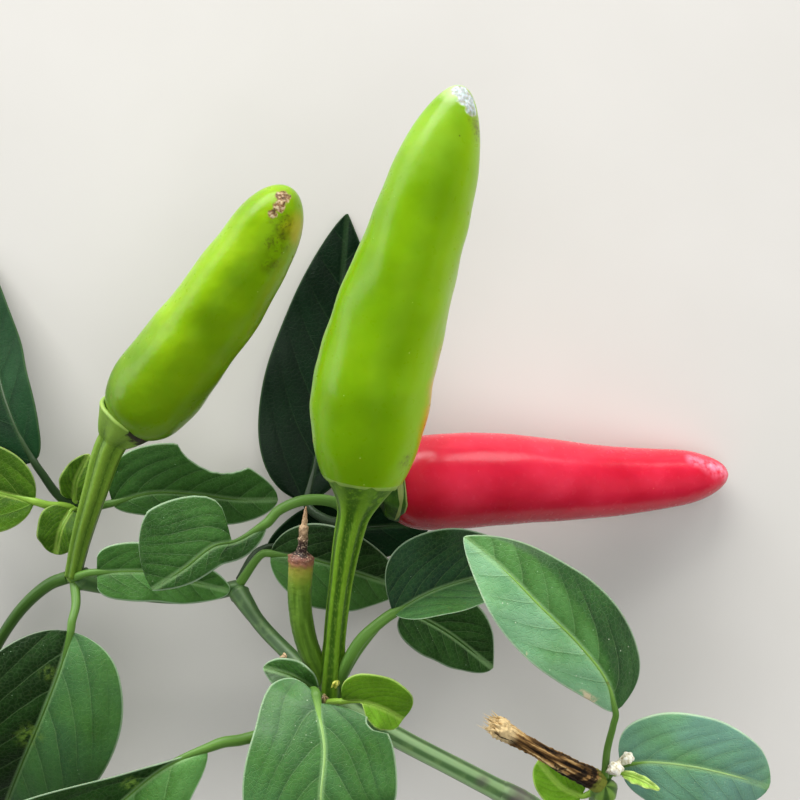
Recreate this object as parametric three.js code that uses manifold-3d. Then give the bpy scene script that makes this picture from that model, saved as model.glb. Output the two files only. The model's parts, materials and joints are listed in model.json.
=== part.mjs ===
// A fruiting sprig of an upright chilli pepper, cut from its plant and laid down on a level surface.
// It has a main stem that forks, three fruits on their stalks, a fruitless stalk, a dead twig,
// two dried buds and twenty two leaves. Lengths are in millimetres. X runs to the right and Y towards
// the tip of the middle fruit, as seen from above. Z is the height over the surface.
import * as THREE from "three";
import { mergeVertices } from "three/addons/utils/BufferGeometryUtils.js";
import Module from "manifold-3d";

const wasm = await Module();
wasm.setup();

const CLEARANCE = 0.3; // gap left where one piece grows out of another
const BLADE_THICKNESS = 0.5; // of a leaf's blade
const FRUIT_RADIUS = 9.8; // of the middle fruit, at its widest
const MARGIN_WIDTH = 0.35; // of a blade's half at its foot and its tip
const KEEL = 0.7; // how far a leaf's midrib stands out beneath its blade
const RIB_END_RADIUS = 0.45; // of a leaf's own stalk, where it has sunk into the midrib
const RIB_SHARE = 0.3; // how far along the midrib a leaf's own stalk can be told from it
const RING_STEP = 6; // length of a stem or stalk between two rings of corners
const FRUIT_SIDES = 14; // of a fruit and of the calyx that fits it
const LEAF_STALK_SIDES = 5;
const WELD = 1e-3; // corners nearer than this are one corner
const FACE_UP = new THREE.Vector3(0, 0, 1);

// Finishes

const finishes = {
  fruit_green: { color: 0x8ab81a, roughness: 0.3 },
  fruit_red: { color: 0xd3223a, roughness: 0.25 },
  stem: { color: 0x6f9a4a, roughness: 0.6 },
  stalk: { color: 0x76a028, roughness: 0.5 },
  leaf: { color: 0x3f7a3c, roughness: 0.5 },
  leaf_young: { color: 0x7fb52c, roughness: 0.5 },
  leaf_shaded: { color: 0x24452a, roughness: 0.55 },
  dead_wood: { color: 0x8a6a3c, roughness: 0.9 },
  bud: { color: 0xd8cdb8, roughness: 0.7 },
};
const materials = {};
for (const [name, look] of Object.entries(finishes)) {
  materials[name] = new THREE.MeshStandardMaterial({ ...look, metalness: 0 });
  materials[name].name = name;
}

// Ways of making a solid

function solidFrom(geometry) {
  geometry.deleteAttribute("normal");
  geometry.deleteAttribute("uv");
  const merged = mergeVertices(geometry, WELD);
  const corners = merged.index.array;
  const triangles = [];
  for (let i = 0; i < corners.length; i += 3) {
    const [a, b, c] = [corners[i], corners[i + 1], corners[i + 2]];
    if (a !== b && b !== c && c !== a) triangles.push(a, b, c);
  }
  const vertProperties = merged.getAttribute("position").array;
  const closed = (list) => {
    const triVerts = new Uint32Array(list);
    return new wasm.Manifold(new wasm.Mesh({ numProp: 3, vertProperties, triVerts }));
  };
  const solid = closed(triangles);
  return solid.volume() > 0 ? solid : closed(triangles.reverse());
}

function curveThrough(points) {
  return new THREE.CatmullRomCurve3(points.map((p) => new THREE.Vector3(...p)), false, "centripetal");
}

// The point at a share of a curve's length, with the directions along it, to its right and out of it.
function frameOn(curve, share) {
  const inside = THREE.MathUtils.clamp(share, 0, 1);
  const along = curve.getTangentAt(inside);
  const point = curve.getPointAt(inside);
  point.addScaledVector(along, (share - inside) * curve.getLength());
  const right = new THREE.Vector3().crossVectors(along, FACE_UP).normalize();
  const out = new THREE.Vector3().crossVectors(right, along);
  return { point, along, right, out };
}

// A turned solid bent along a curve. The profile lists [share of the length, radius],
// and relief scales the radius by the angle from straight out and the share.
function turnedAlong(curve, profile, sides, relief = () => 1) {
  const [start, end] = [profile[0][0], profile.at(-1)[0]];
  const outline = [[start, 0], ...profile, [end, 0]];
  const corners = outline.map(([share, radius]) => new THREE.Vector2(radius, share));
  const geometry = new THREE.LatheGeometry(corners, sides);
  const places = geometry.getAttribute("position");
  for (let i = 0; i < places.count; i++) {
    const [across, share, outwards] = [places.getX(i), places.getY(i), places.getZ(i)];
    const { point, right, out } = frameOn(curve, share);
    const scale = relief(Math.atan2(across, outwards), share);
    point.addScaledVector(right, across * scale).addScaledVector(out, outwards * scale);
    places.setXYZ(i, point.x, point.y, point.z);
  }
  return solidFrom(geometry);
}

// The value at a share of the way along a list of evenly spread values.
function spread(values, share) {
  const place = THREE.MathUtils.clamp(share, 0, 1) * (values.length - 1);
  const before = Math.min(Math.floor(place), values.length - 2);
  return THREE.MathUtils.lerp(values[before], values[before + 1], place - before);
}

const ROUNDING = [40, 80]; // degrees round a limb's far end where it has its last rings

// A tapering limb, with radii spread evenly along it, a flat start and a rounded far end.
function limb({ points, radii, sides = 8, rings }, grow = 0) {
  const curve = curveThrough(points);
  const length = curve.getLength();
  const roundedShare = Math.min(radii.at(-1) / length, 0.5);
  const steps = rings ?? Math.max(3, Math.ceil(length / RING_STEP));
  const profile = [];
  for (let i = 0; i <= steps; i++) {
    const share = ((1 - roundedShare) * i) / steps;
    profile.push([share, spread(radii, share) + grow]);
  }
  for (const degrees of ROUNDING) {
    const turn = THREE.MathUtils.degToRad(degrees);
    profile.push([1 - roundedShare + roundedShare * Math.sin(turn), radii.at(-1) * Math.cos(turn) + grow]);
  }
  profile[0][0] -= grow / length;
  profile.at(-1)[0] += grow / length;
  return turnedAlong(curve, profile, sides);
}

// Fruits

const TAPER_BEND = 1.25; // more keeps the body wide for longer
const TIP_BEND = 2.3; // more makes the far end blunter
const LOBE_COUNT = 3; // one for each of a fruit's inner chambers
const LOBE_TWIST = 1.4; // radians, from one end of a fruit to the other, as are the next two
const DENT_ROWS = 11;
const DENT_TWIST = 2.5;
const DENT_WANDER = 2; // radians that a row of dents strays from a level ring
const DENT_SIDE = 0.6; // radians from the top to the side that is dented most
const FRUIT_RINGS = 15;
const BLOSSOM_END = { share: 0.998, radius: 0.1 }; // the last ring, in shares of length and radius

// A fruit's radius, as a share of its widest, at a share of its length from the calyx. It is narrower
// at the calyx by its drop, and more bend makes the shoulder shorter and rounder.
function fruitShare(share, { drop, bend, widest, taper, blunt }) {
  const shoulder = share < widest ? 1 - drop * Math.pow(1 - share / widest, bend) : 1;
  const past = Math.max(0, share - widest) / (1 - widest);
  const body = 1 - taper * Math.pow(past, TAPER_BEND);
  const nearTip = Math.max(0, (share - (1 - blunt)) / blunt);
  return shoulder * body * Math.sqrt(Math.max(0, 1 - Math.pow(nearTip, TIP_BEND)));
}

// Shallow lobes and dents, fading towards both ends.
function fruitRelief({ lobes, dents, turn }) {
  return (angle, share) => {
    const fade = Math.sin(Math.PI * THREE.MathUtils.clamp(share, 0, 1));
    const lobed = lobes * Math.cos(LOBE_COUNT * (angle - turn) + LOBE_TWIST * share);
    const rows = Math.sin(DENT_ROWS * share + DENT_WANDER * Math.sin(angle + turn));
    const dented = dents * rows * Math.cos(angle - DENT_SIDE + DENT_TWIST * share);
    return 1 + fade * (lobed + dented);
  };
}

function fruit({ points, radius, form, relief }, grow = 0) {
  const curve = curveThrough(points);
  const length = curve.getLength();
  const profile = [];
  for (let i = 0; i < FRUIT_RINGS; i++) {
    const share = 0.5 - 0.5 * Math.cos((Math.PI * i) / FRUIT_RINGS);
    profile.push([share, radius * fruitShare(share, form) + grow]);
  }
  profile.push([BLOSSOM_END.share, radius * BLOSSOM_END.radius + grow]);
  profile[0][0] -= grow / length;
  profile.at(-1)[0] += grow / length;
  return turnedAlong(curve, profile, FRUIT_SIDES, fruitRelief(relief));
}

const fruits = {
  fruit_middle_green: {
    points: [[-6.3, -12.6, 45], [-4, 4, 48], [2, 24.2, 52], [9.7, 49.2, 56]],
    radius: FRUIT_RADIUS,
    form: { drop: 0.3, bend: 2.4, widest: 0.24, taper: 0.45, blunt: 0.26 },
    relief: { lobes: 0.012, dents: 0.014, turn: 0.5 },
  },
  fruit_left_green: {
    points: [[-48.1, -3.9, 27.6], [-38.9, 7.4, 32], [-27.9, 21.1, 37], [-18.3, 35.6, 42]],
    radius: 8.2,
    form: { drop: 0.38, bend: 4, widest: 0.22, taper: 0.31, blunt: 0.22 },
    relief: { lobes: 0.02, dents: 0.03, turn: 2.2 },
  },
  fruit_right_red: {
    finish: "fruit_red",
    points: [[-2.2, -15.5, 23.4], [19, -14.9, 16.8], [41, -15.8, 9.7], [65, -14.7, 3.33]],
    radius: 8.9,
    form: { drop: 0.4, bend: 5, widest: 0.22, taper: 0.5, blunt: 0.16 },
    relief: { lobes: 0.01, dents: 0.012, turn: 1.1 },
  },
};

// Fruit stalks, each flaring into a calyx that cups the foot of its fruit

const CALYX_RINGS = 4;
const FLARE_BEND = 1.6; // more keeps the calyx narrow for longer

function stalk({ points, radii, cup }, grow = 0) {
  const curve = curveThrough(points);
  const length = curve.getLength();
  const cupStart = 1 - cup.depth / length;
  const profile = [];
  const steps = Math.ceil((cupStart * length) / RING_STEP);
  for (let i = 0; i < steps; i++) {
    const share = (cupStart * i) / steps;
    profile.push([share, spread(radii, share / cupStart) + grow]);
  }
  for (let i = 0; i <= CALYX_RINGS; i++) {
    const up = i / CALYX_RINGS;
    const flare = THREE.MathUtils.lerp(radii.at(-1), cup.radius, Math.pow(up, cup.bend ?? FLARE_BEND));
    profile.push([cupStart + (1 - cupStart) * up, flare + grow]);
  }
  profile[0][0] -= grow / length;
  return turnedAlong(curve, profile, FRUIT_SIDES);
}

const stalks = {
  stalk_middle: {
    points: [[-11.9, -51.8, 36.5], [-10.8, -37.4, 39.5], [-8.9, -24.3, 42.3], [-6.9, -15.6, 44.4],
      [-6.3, -12, 45.1]],
    radii: [2.3, 1.8, 1.9, 2.5],
    cup: { depth: 8.5, radius: 7 },
  },
  stalk_left: {
    points: [[-60.1, -32.5, 22.5], [-58.4, -25.6, 23.2], [-55.3, -16.4, 25], [-52.3, -8.4, 26.6],
      [-48.4, -3.1, 28.2]],
    radii: [1.5, 1.9, 2.3, 2.8],
    cup: { depth: 5.5, radius: 6 },
  },
  stalk_right: {
    points: [[-8.8, -23.5, 21], [-7.2, -18.8, 22.6], [-4.6, -15.8, 24], [-1, -15.3, 23]],
    radii: [1.5, 1.6, 1.9],
    cup: { depth: 4.4, radius: 7, bend: 0.5 },
  },
};

// Stems, from the cut end to the furthest fork

const stems = {
  main_stem: {
    points: [[41, -114, 2.6], [38, -98, 11], [34, -84, 21.5], [21, -70.6, 32]],
    radii: [2.6, 2.5, 2.3, 2.2, 2.1, 2.1, 2.1, 2.4],
  },
  middle_stem: {
    points: [[21, -70.6, 32], [10.5, -64.4, 34.5], [0.1, -58.6, 36], [-11.9, -51.8, 36]],
    radii: [2.1, 1.85, 1.8, 1.75, 1.75, 1.8, 2, 2.8],
  },
  right_stem: {
    points: [[34, -84, 21.5], [34.5, -73, 31.5], [34.2, -64.2, 43.6]],
    radii: [2, 1.8, 1.8, 1.8, 1.9, 2.3],
  },
  upper_stem: {
    points: [[-12, -52, 35], [-11.4, -42.8, 29], [-10.3, -33.6, 24.5], [-8.8, -23.5, 21]],
    radii: [1.7, 1.5, 1.45, 1.45, 1.5, 2.2],
  },
  back_stem: {
    points: [[-12, -52, 35], [-17.9, -47, 30], [-25.4, -41, 24], [-30.7, -35, 19]],
    radii: [1.5, 1.4, 1.35, 1.35, 2],
  },
  left_stem: {
    points: [[-30.7, -35, 19], [-39.5, -37, 17], [-50.5, -36, 18], [-60.1, -32.5, 22]],
    radii: [1.4, 1.3, 1.3, 1.35, 1.5, 2.3],
  },
  left_shoot: {
    points: [[-60.1, -32.5, 22], [-60.4, -26.2, 18.5], [-60, -20.4, 16]],
    radii: [1.3, 1.2, 1.2, 1.7],
  },
};

// What is left of a stalk whose fruit has gone, and a twig that died back to its fork

const deadPieces = {
  bare_stalk: {
    points: [[-13.4, -48.4, 36], [-16.1, -41, 38], [-17, -33.9, 40], [-16.7, -27.8, 41], [-16.2, -22.5, 42],
      [-15.7, -17.8, 43]],
    radii: [1.5, 1.7, 1.9, 2, 2.05, 2.1, 2.1, 2.2, 1.95, 0.85, 0.95, 0.6, 0.3],
    rings: 12,
  },
  dead_twig: {
    finish: "dead_wood",
    points: [[33.2, -63.8, 43], [24, -57.3, 49], [14.6, -51.5, 53]],
    radii: [1.5, 1.55, 1.6, 1.45, 1.4, 1.5],
  },
};

const buds = {
  bud_upper: { points: [[36.4, -60.4, 44], [38, -58.4, 46.4]], radii: [0.5, 1] },
  bud_lower: { points: [[34.6, -61.6, 43.6], [35.6, -59.8, 48.2]], radii: [0.6, 1.2] },
};

// Leaves: each is a blade folded about its midrib, which runs back into the leaf's own stalk

const BELLY = 0.38; // where a blade is widest, as a share of its length, unless the leaf says so
const POINT = 0.85; // less makes a blunter tip
const FOLD = 12; // degrees that a half blade rises from the midrib
const RIPPLE = 0.4; // height of the waves along a margin
const WAVES = 3;
const WAVE_SHIFT = 1.7; // radians between the waves of the two margins
const HEART_FADE = 5; // more keeps the swept back part of a half blade nearer its foot
const BITE_DEPTH = 30;
const BITE_SIDES = 16;

// A measure of a leaf is one number, or a pair for its left and right halves.
const ofHand = (measure, hand) => (Array.isArray(measure) ? measure[hand] : measure);

// A blade's half width at a share of its length, as a share of its widest, which lies at the belly.
// A small point makes a blunt tip, and a half may start some way along the midrib.
function bladeShare(share, hand, leaf) {
  const belly = ofHand(leaf.belly ?? BELLY, hand);
  const point = ofHand(leaf.point ?? POINT, hand);
  const start = ofHand(leaf.starts ?? 0, hand);
  const foot = (point * belly) / (1 - belly);
  const shape = (u) => Math.pow(u, foot) * Math.pow(1 - u, point);
  return shape(THREE.MathUtils.clamp((share - start) / (1 - start), 0, 1)) / shape(belly);
}

// How far a half blade reaches sideways and upwards after a length of its arc.
function arcReach(length, width, fold, curl) {
  const start = THREE.MathUtils.degToRad(fold);
  const rate = THREE.MathUtils.degToRad(curl) / width;
  if (Math.abs(rate * length) < 1e-4) return [length * Math.cos(start), length * Math.sin(start)];
  const end = start + rate * length;
  return [(Math.sin(end) - Math.sin(start)) / rate, (Math.cos(start) - Math.cos(end)) / rate];
}

// A thin box drawn out into a blade: X runs along the midrib, Y across it and Z through the thickness.
// Each half rises by its fold and bends on by its curl, in degrees, and a heart sweeps its foot back.
function blade(leaf, grow = 0) {
  const { rib, half, fold = FOLD, curl = 0, heart = 0 } = leaf;
  const curve = curveThrough(rib);
  const [lengthways, crossways] = leaf.grid ?? [8, 4];
  const geometry = new THREE.BoxGeometry(1, 1, 1, lengthways, crossways, 1);
  const places = geometry.getAttribute("position");
  for (let i = 0; i < places.count; i++) {
    const share = 0.5 - 0.5 * Math.cos(Math.PI * (places.getX(i) + 0.5));
    const across = places.getY(i) * 2; // -1 at the left margin, 1 at the right
    const beneath = places.getZ(i) < 0;
    const keel = beneath && across === 0 ? KEEL * (1 - share) : 0;
    const level = places.getZ(i) * (BLADE_THICKNESS + 2 * grow) - keel;
    const { point, along, right, out } = frameOn(curve, share + (share - 0.5) * (grow / curve.getLength()));
    const hand = across < 0 ? 0 : 1;
    const width = ofHand(half, hand) * bladeShare(share, hand, leaf) + MARGIN_WIDTH + grow;
    const reach = Math.abs(across) * width;
    const [sideways, upwards] = arcReach(reach, width, ofHand(fold, hand), ofHand(curl, hand));
    const wave = Math.sin(2 * Math.PI * WAVES * share + hand * WAVE_SHIFT) * Math.sin(Math.PI * share);
    const sweptBack = ofHand(heart, hand) * reach * Math.pow(1 - share, HEART_FADE);
    point.addScaledVector(right, Math.sign(across) * sideways);
    point.addScaledVector(out, upwards + RIPPLE * across * across * wave + level);
    point.addScaledVector(along, -sweptBack);
    places.setXYZ(i, point.x, point.y, point.z);
  }
  return solidFrom(geometry);
}

// What an insect has eaten out of a blade: an upright round hole, smaller where the blade is grown.
function biteFrom({ at, radius }, grow) {
  const reach = radius - grow;
  const geometry = new THREE.CylinderGeometry(reach, reach, BITE_DEPTH, BITE_SIDES);
  geometry.rotateX(Math.PI / 2);
  geometry.translate(...at);
  return solidFrom(geometry);
}

function leafSolid(leaf, grow = 0) {
  const { stalk: foot, rib, thick = 0.9 } = leaf;
  let whole = blade(leaf, grow);
  if (leaf.bite) whole = whole.subtract(biteFrom(leaf.bite, grow));
  const reach = curveThrough(rib).getPointAt(RIB_SHARE).toArray();
  const points = [...foot, rib[0], reach];
  const radii = [thick, thick, thick, RIB_END_RADIUS];
  return whole.add(limb({ points, radii, sides: LEAF_STALK_SIDES }, grow));
}

const leaves = {
  leaf_front: {
    stalk: [[-13.2, -51.6, 37.5], [-14.6, -49.2, 41.5]],
    rib: [[-13.8, -48.5, 45.8], [-13.1, -51.5, 48.2], [-12.2, -56.2, 50], [-12.7, -63.9, 51.5],
      [-12.7, -72, 50], [-12.6, -80, 46]],
    half: [12.2, 12.9],
    belly: [0.4, 0.48],
    point: 0.7,
    starts: [0.05, 0],
    fold: [2, 4],
    curl: [-22, -24],
    heart: [-0.3, 1.72],
    thick: 1,
    grid: [11, 4],
    bite: { at: [-3.6, -52, 47], radius: 1.8 },
  },
  leaf_front_small: {
    stalk: [[-12.9, -51.5, 37]],
    rib: [[-14.2, -49.8, 38], [-18.4, -46.8, 39.5], [-23.3, -45.6, 38.5]],
    half: [3, 2.7],
    belly: [0.45, 0.5],
    point: [0.85, 0.7],
    fold: [30, 10],
    thick: 0.6,
    grid: [6, 4],
  },
  leaf_front_bright: {
    finish: "leaf_young",
    stalk: [[-12.8, -52, 38], [-11.4, -50.9, 41]],
    rib: [[-9.7, -50.5, 42.4], [-5.8, -50.4, 43.5], [-2.5, -51.5, 43.4], [0.5, -53.5, 42]],
    half: [5.8, 3.2],
    belly: 0.5,
    point: 0.45,
    starts: [0, 0.35],
    fold: [22, 18],
    thick: 0.7,
    grid: [6, 4],
  },
  leaf_low_left: {
    stalk: [[-12.2, -53, 36], [-20.4, -55.8, 39], [-26.5, -57.2, 41]],
    rib: [[-30.6, -57.6, 42.4], [-38.6, -60.8, 44], [-45.7, -66.3, 44], [-57, -77.5, 42], [-69, -90, 36]],
    half: [10, 18.6],
    belly: [0.42, 0.68],
    point: [0.85, 0.95],
    starts: [0.035, 0.08],
    fold: [10, 36],
    curl: [-20, -6],
    thick: 1.15,
  },
  leaf_middle_right: {
    stalk: [[-11, -49.8, 37], [-9.2, -45.1, 39], [-6.6, -40.6, 40], [-3, -37.4, 39.8]],
    rib: [[-1.2, -36.2, 39.4], [5.2, -33, 37.4], [13.1, -31, 33.8], [21, -30.2, 29]],
    half: [11.6, 8],
    belly: [0.32, 0.4],
    fold: [22, 64],
    curl: [10, 0],
    thick: 1.15,
  },
  leaf_under_right: {
    stalk: [[-11.4, -50.6, 34], [-7, -43.9, 29.6], [-1.4, -38.4, 25.6]],
    rib: [[0.6, -37.8, 25], [8.7, -42.6, 23], [17.2, -49.7, 20]],
    half: [7.4, 5.6],
    belly: [0.45, 0.35],
    point: [1, 0.6],
    fold: 8,
  },
  leaf_under_middle: {
    stalk: [[-29.8, -34.1, 19], [-25.6, -28.6, 20.2]],
    rib: [[-24, -28.4, 20.4], [-16.5, -29.5, 20.4], [-7.7, -32.4, 18.6], [0.8, -35.8, 15]],
    half: [7, 8.2],
    belly: 0.4,
    fold: [4, 12],
  },
  leaf_shade: {
    finish: "leaf_shaded",
    stalk: [[-29.9, -33.7, 18], [-27.6, -29.4, 14.6]],
    rib: [[-25.4, -28.2, 12.6], [-17, -26.6, 9.6], [-7, -25, 7.6], [6, -24.4, 6]],
    half: 6.8,
    belly: 0.5,
    point: 0.7,
    fold: 6,
  },
  leaf_folded: {
    stalk: [[-9.4, -23.2, 21.6], [-11.2, -18.8, 26], [-17, -17.8, 30], [-21.4, -19.5, 31.2]],
    rib: [[-23.6, -21.8, 31.8], [-28.6, -24.6, 33.4], [-32.4, -25.4, 34.4], [-37.4, -29.2, 34.4],
      [-43.6, -33.4, 31.6]],
    half: [3.4, 11.6],
    belly: [0.42, 0.46],
    point: [0.9, 0.55],
    starts: [0, 0.28],
    fold: [4, 2],
    curl: [-6, -8],
    thick: 1.1,
  },
  leaf_tall: {
    finish: "leaf_shaded",
    stalk: [[-9.3, -23, 20], [-14.1, -22.4, 16.6]],
    rib: [[-17.9, -19.4, 13.4], [-15.6, -7.8, 8.4], [-12.4, 13.9, 3.2], [-10.6, 37.4, 0.56]],
    half: [13, 9.6],
    belly: [0.36, 0.42],
    point: [0.85, 1],
    fold: [-2, 4],
    curl: [-4, -6],
    thick: 1,
  },
  leaf_back_left: {
    stalk: [[-59.6, -20.4, 16], [-57, -20, 16.8]],
    rib: [[-54.1, -19.4, 17], [-47, -17.5, 17], [-39.6, -17.7, 16], [-30.5, -19, 14],
      [-23.5, -19.2, 11.4]],
    half: [9.4, 5.4],
    belly: [0.38, 0.5],
    point: 0.6,
    fold: [10, -4],
    bite: { at: [-33, -4.4, 15], radius: 9.4 },
  },
  leaf_left_round: {
    stalk: [[-60, -32.6, 22.6], [-56.6, -31.4, 25]],
    rib: [[-55, -31.2, 25.2], [-45.4, -31.2, 25], [-38.4, -33.2, 23], [-31.6, -35.4, 20]],
    half: [5.4, 5.2],
    belly: 0.3,
    point: 0.6,
    fold: [14, 10],
    thick: 0.8,
  },
  leaf_left_hanging: {
    stalk: [[-59.8, -33.6, 22], [-58.8, -37.2, 25], [-59, -39.9, 27]],
    rib: [[-59.1, -41.5, 27.4], [-60.6, -47.6, 28.4], [-64.4, -57.4, 28], [-69.4, -68, 25],
      [-76, -82, 18]],
    half: 14.2,
    fold: [8, 24],
    curl: [-20, -8],
  },
  leaf_left_low: {
    stalk: [[-61.3, -32.7, 21], [-64.9, -34.1, 20], [-70.2, -38.4, 18], [-75.8, -45.5, 15],
      [-79.5, -52.2, 12.4]],
    rib: [[-80.6, -54.6, 11.4], [-84, -64, 8.6], [-89, -76, 6], [-93, -86, 4]],
    half: 9,
    fold: 8,
    thick: 1.2,
  },
  leaf_left_edge: {
    stalk: [[-60.5, -19.7, 17], [-63.4, -18.3, 18], [-66.6, -13.6, 19.4]],
    rib: [[-68, -11.4, 19.6], [-71, -6.4, 19], [-74.4, 0, 16.4], [-78.8, 10, 10],
      [-85.8, 32, 0.52]],
    half: [8.6, 5.8],
    fold: 12,
    curl: -10,
  },
  leaf_left_bright: {
    finish: "leaf_young",
    stalk: [[-60.9, -19.9, 17], [-65.2, -19.6, 19.4]],
    rib: [[-67.6, -18.8, 20.4], [-76, -16.7, 20.6], [-86.8, -14.7, 16], [-97, -14, 9]],
    half: [8.4, 8.6],
    belly: 0.36,
    fold: [14, 4],
  },
  leaf_shoot_upright: {
    stalk: [[-60.1, -20.1, 17]],
    rib: [[-61, -18.6, 18], [-60, -14.8, 20], [-57.4, -10, 21]],
    half: [2.8, 2.6],
    point: 0.7,
    fold: 16,
    thick: 0.6,
    grid: [6, 4],
  },
  leaf_shoot_round: {
    stalk: [[-60.3, -20.3, 17]],
    rib: [[-61.3, -20.6, 19], [-62.6, -23.8, 21], [-63.8, -28.6, 20]],
    half: [4, 4.2],
    point: 0.6,
    fold: 16,
    thick: 0.6,
    grid: [6, 4],
  },
  leaf_right_upper: {
    stalk: [[34.2, -62.8, 43], [33.9, -57.3, 47], [34.4, -52.4, 50]],
    rib: [[34.6, -50, 51], [32.8, -44.6, 53], [28.5, -38.9, 54.2], [22, -32.4, 55], [16.6, -27, 54],
      [10.3, -22, 51]],
    half: [7.2, 9.3],
    belly: [0.5, 0.38],
    fold: [6, 0],
    curl: [-6, -36],
    heart: [0.35, 0],
  },
  leaf_right_side: {
    stalk: [[34.9, -63.4, 41.5]],
    rib: [[36.6, -60.8, 43.6], [41.3, -59.9, 45], [47.9, -60.5, 45.2], [56.4, -62.8, 43.6],
      [62.3, -65.4, 40.4]],
    half: 8.4,
    belly: 0.4,
    point: 0.6,
    fold: 4,
    curl: -14,
    thick: 0.8,
  },
  leaf_right_cup: {
    finish: "leaf_young",
    stalk: [[33.5, -66.4, 38.6]],
    rib: [[31, -67.6, 38.4], [27.4, -65.8, 38.6], [23.6, -61.6, 38]],
    half: [3.6, 4],
    belly: 0.45,
    point: 0.5,
    fold: 20,
    thick: 0.6,
    grid: [6, 4],
  },
  leaf_right_sprout: {
    finish: "leaf_young",
    stalk: [[35.4, -61.8, 45]],
    rib: [[36.4, -61.2, 46.6], [39, -61.8, 48], [42.2, -63.4, 48.2]],
    half: [0.7, 0.8],
    thick: 0.45,
    grid: [5, 2],
  },
};

// Putting the sprig together: each piece stands clear of those placed before it

const sprig = new THREE.Group();
const placed = [];

function meshFrom(solid, material) {
  const { vertProperties, triVerts } = solid.getMesh();
  const geometry = new THREE.BufferGeometry();
  geometry.setAttribute("position", new THREE.BufferAttribute(vertProperties, 3));
  geometry.setIndex(new THREE.BufferAttribute(triVerts, 1));
  geometry.computeVertexNormals();
  return new THREE.Mesh(geometry, material);
}

function place(name, finish, make) {
  let solid = make(0);
  for (const earlier of placed) solid = solid.subtract(earlier.grown);
  const pieces = solid.decompose().sort((a, b) => b.volume() - a.volume());
  const mesh = meshFrom(pieces[0], materials[finish]);
  mesh.name = name;
  sprig.add(mesh);
  placed.push({ name, grown: make(CLEARANCE) });
}

function placeAll(pieces, usualFinish, make) {
  for (const [name, piece] of Object.entries(pieces)) {
    place(name, piece.finish ?? usualFinish, (grow) => make(piece, grow));
  }
}

placeAll(stems, "stem", limb);
placeAll(fruits, "fruit_green", fruit);
placeAll(stalks, "stalk", stalk);
placeAll(deadPieces, "stalk", limb);
placeAll(leaves, "leaf", leafSolid);
placeAll(buds, "bud", limb);

// The origin is on the surface, under the middle of the sprig.
const box = new THREE.Box3().setFromObject(sprig);
const middle = box.getCenter(new THREE.Vector3());
sprig.position.set(-middle.x, -middle.y, -box.min.z);

export default sprig;
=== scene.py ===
# %% [markdown]
# # A cut sprig of an upright chilli pepper
# The sprig lies on a pale surface, and the camera looks straight down on it. It has forked green stems,
# two green fruits and a red one, a stalk that has lost its fruit, a twig that has died back, two dry buds
# and twenty two leaves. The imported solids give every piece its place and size. Each one is made again
# here with a finer surface, from the same few measures, so that it stays where the solid is.

# %% The frame
import json
import math

import bpy
import numpy as np
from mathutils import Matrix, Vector, noise


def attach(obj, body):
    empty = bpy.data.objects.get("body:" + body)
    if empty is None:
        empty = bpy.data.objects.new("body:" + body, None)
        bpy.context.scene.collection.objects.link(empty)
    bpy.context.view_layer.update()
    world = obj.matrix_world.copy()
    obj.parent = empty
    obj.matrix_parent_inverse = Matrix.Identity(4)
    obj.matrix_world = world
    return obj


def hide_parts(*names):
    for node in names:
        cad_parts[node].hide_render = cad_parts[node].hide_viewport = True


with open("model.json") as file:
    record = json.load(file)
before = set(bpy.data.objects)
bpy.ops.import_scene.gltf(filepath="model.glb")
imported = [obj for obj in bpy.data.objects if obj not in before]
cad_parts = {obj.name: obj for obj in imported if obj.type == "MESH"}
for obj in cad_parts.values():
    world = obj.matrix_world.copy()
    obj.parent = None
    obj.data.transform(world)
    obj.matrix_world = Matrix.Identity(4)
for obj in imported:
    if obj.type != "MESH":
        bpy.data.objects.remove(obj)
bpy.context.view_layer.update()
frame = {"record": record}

MM = 0.001  # every measure below is in millimetres
CUT_END = (41, -114, 2.6)  # middle of the main stem's flat cut, in the measures' own frame
cut_mount = frame["record"]["mounts"][0]
SHIFT = np.array(cut_mount["pos_m"]) / MM - np.array(CUT_END)
print("measures shift by, mm:", SHIFT.round(2))

# %% [markdown]
# ## Lines that stems and ribs follow
# Every stem, stalk, fruit and midrib bends along a smooth line through a few points. A curve object could
# hold it, but the rings of a fruit and the two halves of a blade need the line's own directions at many
# places at once, so the line is worked out here as arrays. It is a Catmull-Rom line whose pace goes with
# the square root of the distance between its points, which keeps it from overshooting a tight bend.

# %% A smooth line through points
LINE_STEPS = 60  # between two points


def stretch_between(before, start, end, after):
    """The line from start to end, bent to suit the points before and after them."""
    paces = [math.sqrt(np.linalg.norm(b - a)) for a, b in ((before, start), (start, end), (end, after))]
    first, middle, last = paces
    leaving = (start - before) / first - (end - before) / (first + middle) + (end - start) / middle
    arriving = (end - start) / middle - (after - start) / (middle + last) + (after - end) / last
    leaving, arriving = leaving * middle, arriving * middle
    t = np.linspace(0, 1, LINE_STEPS, endpoint=False)[:, None]
    bend = -3 * start + 3 * end - 2 * leaving - arriving
    swing = 2 * start - 2 * end + leaving + arriving
    return start + leaving * t + bend * t**2 + swing * t**3


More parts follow.
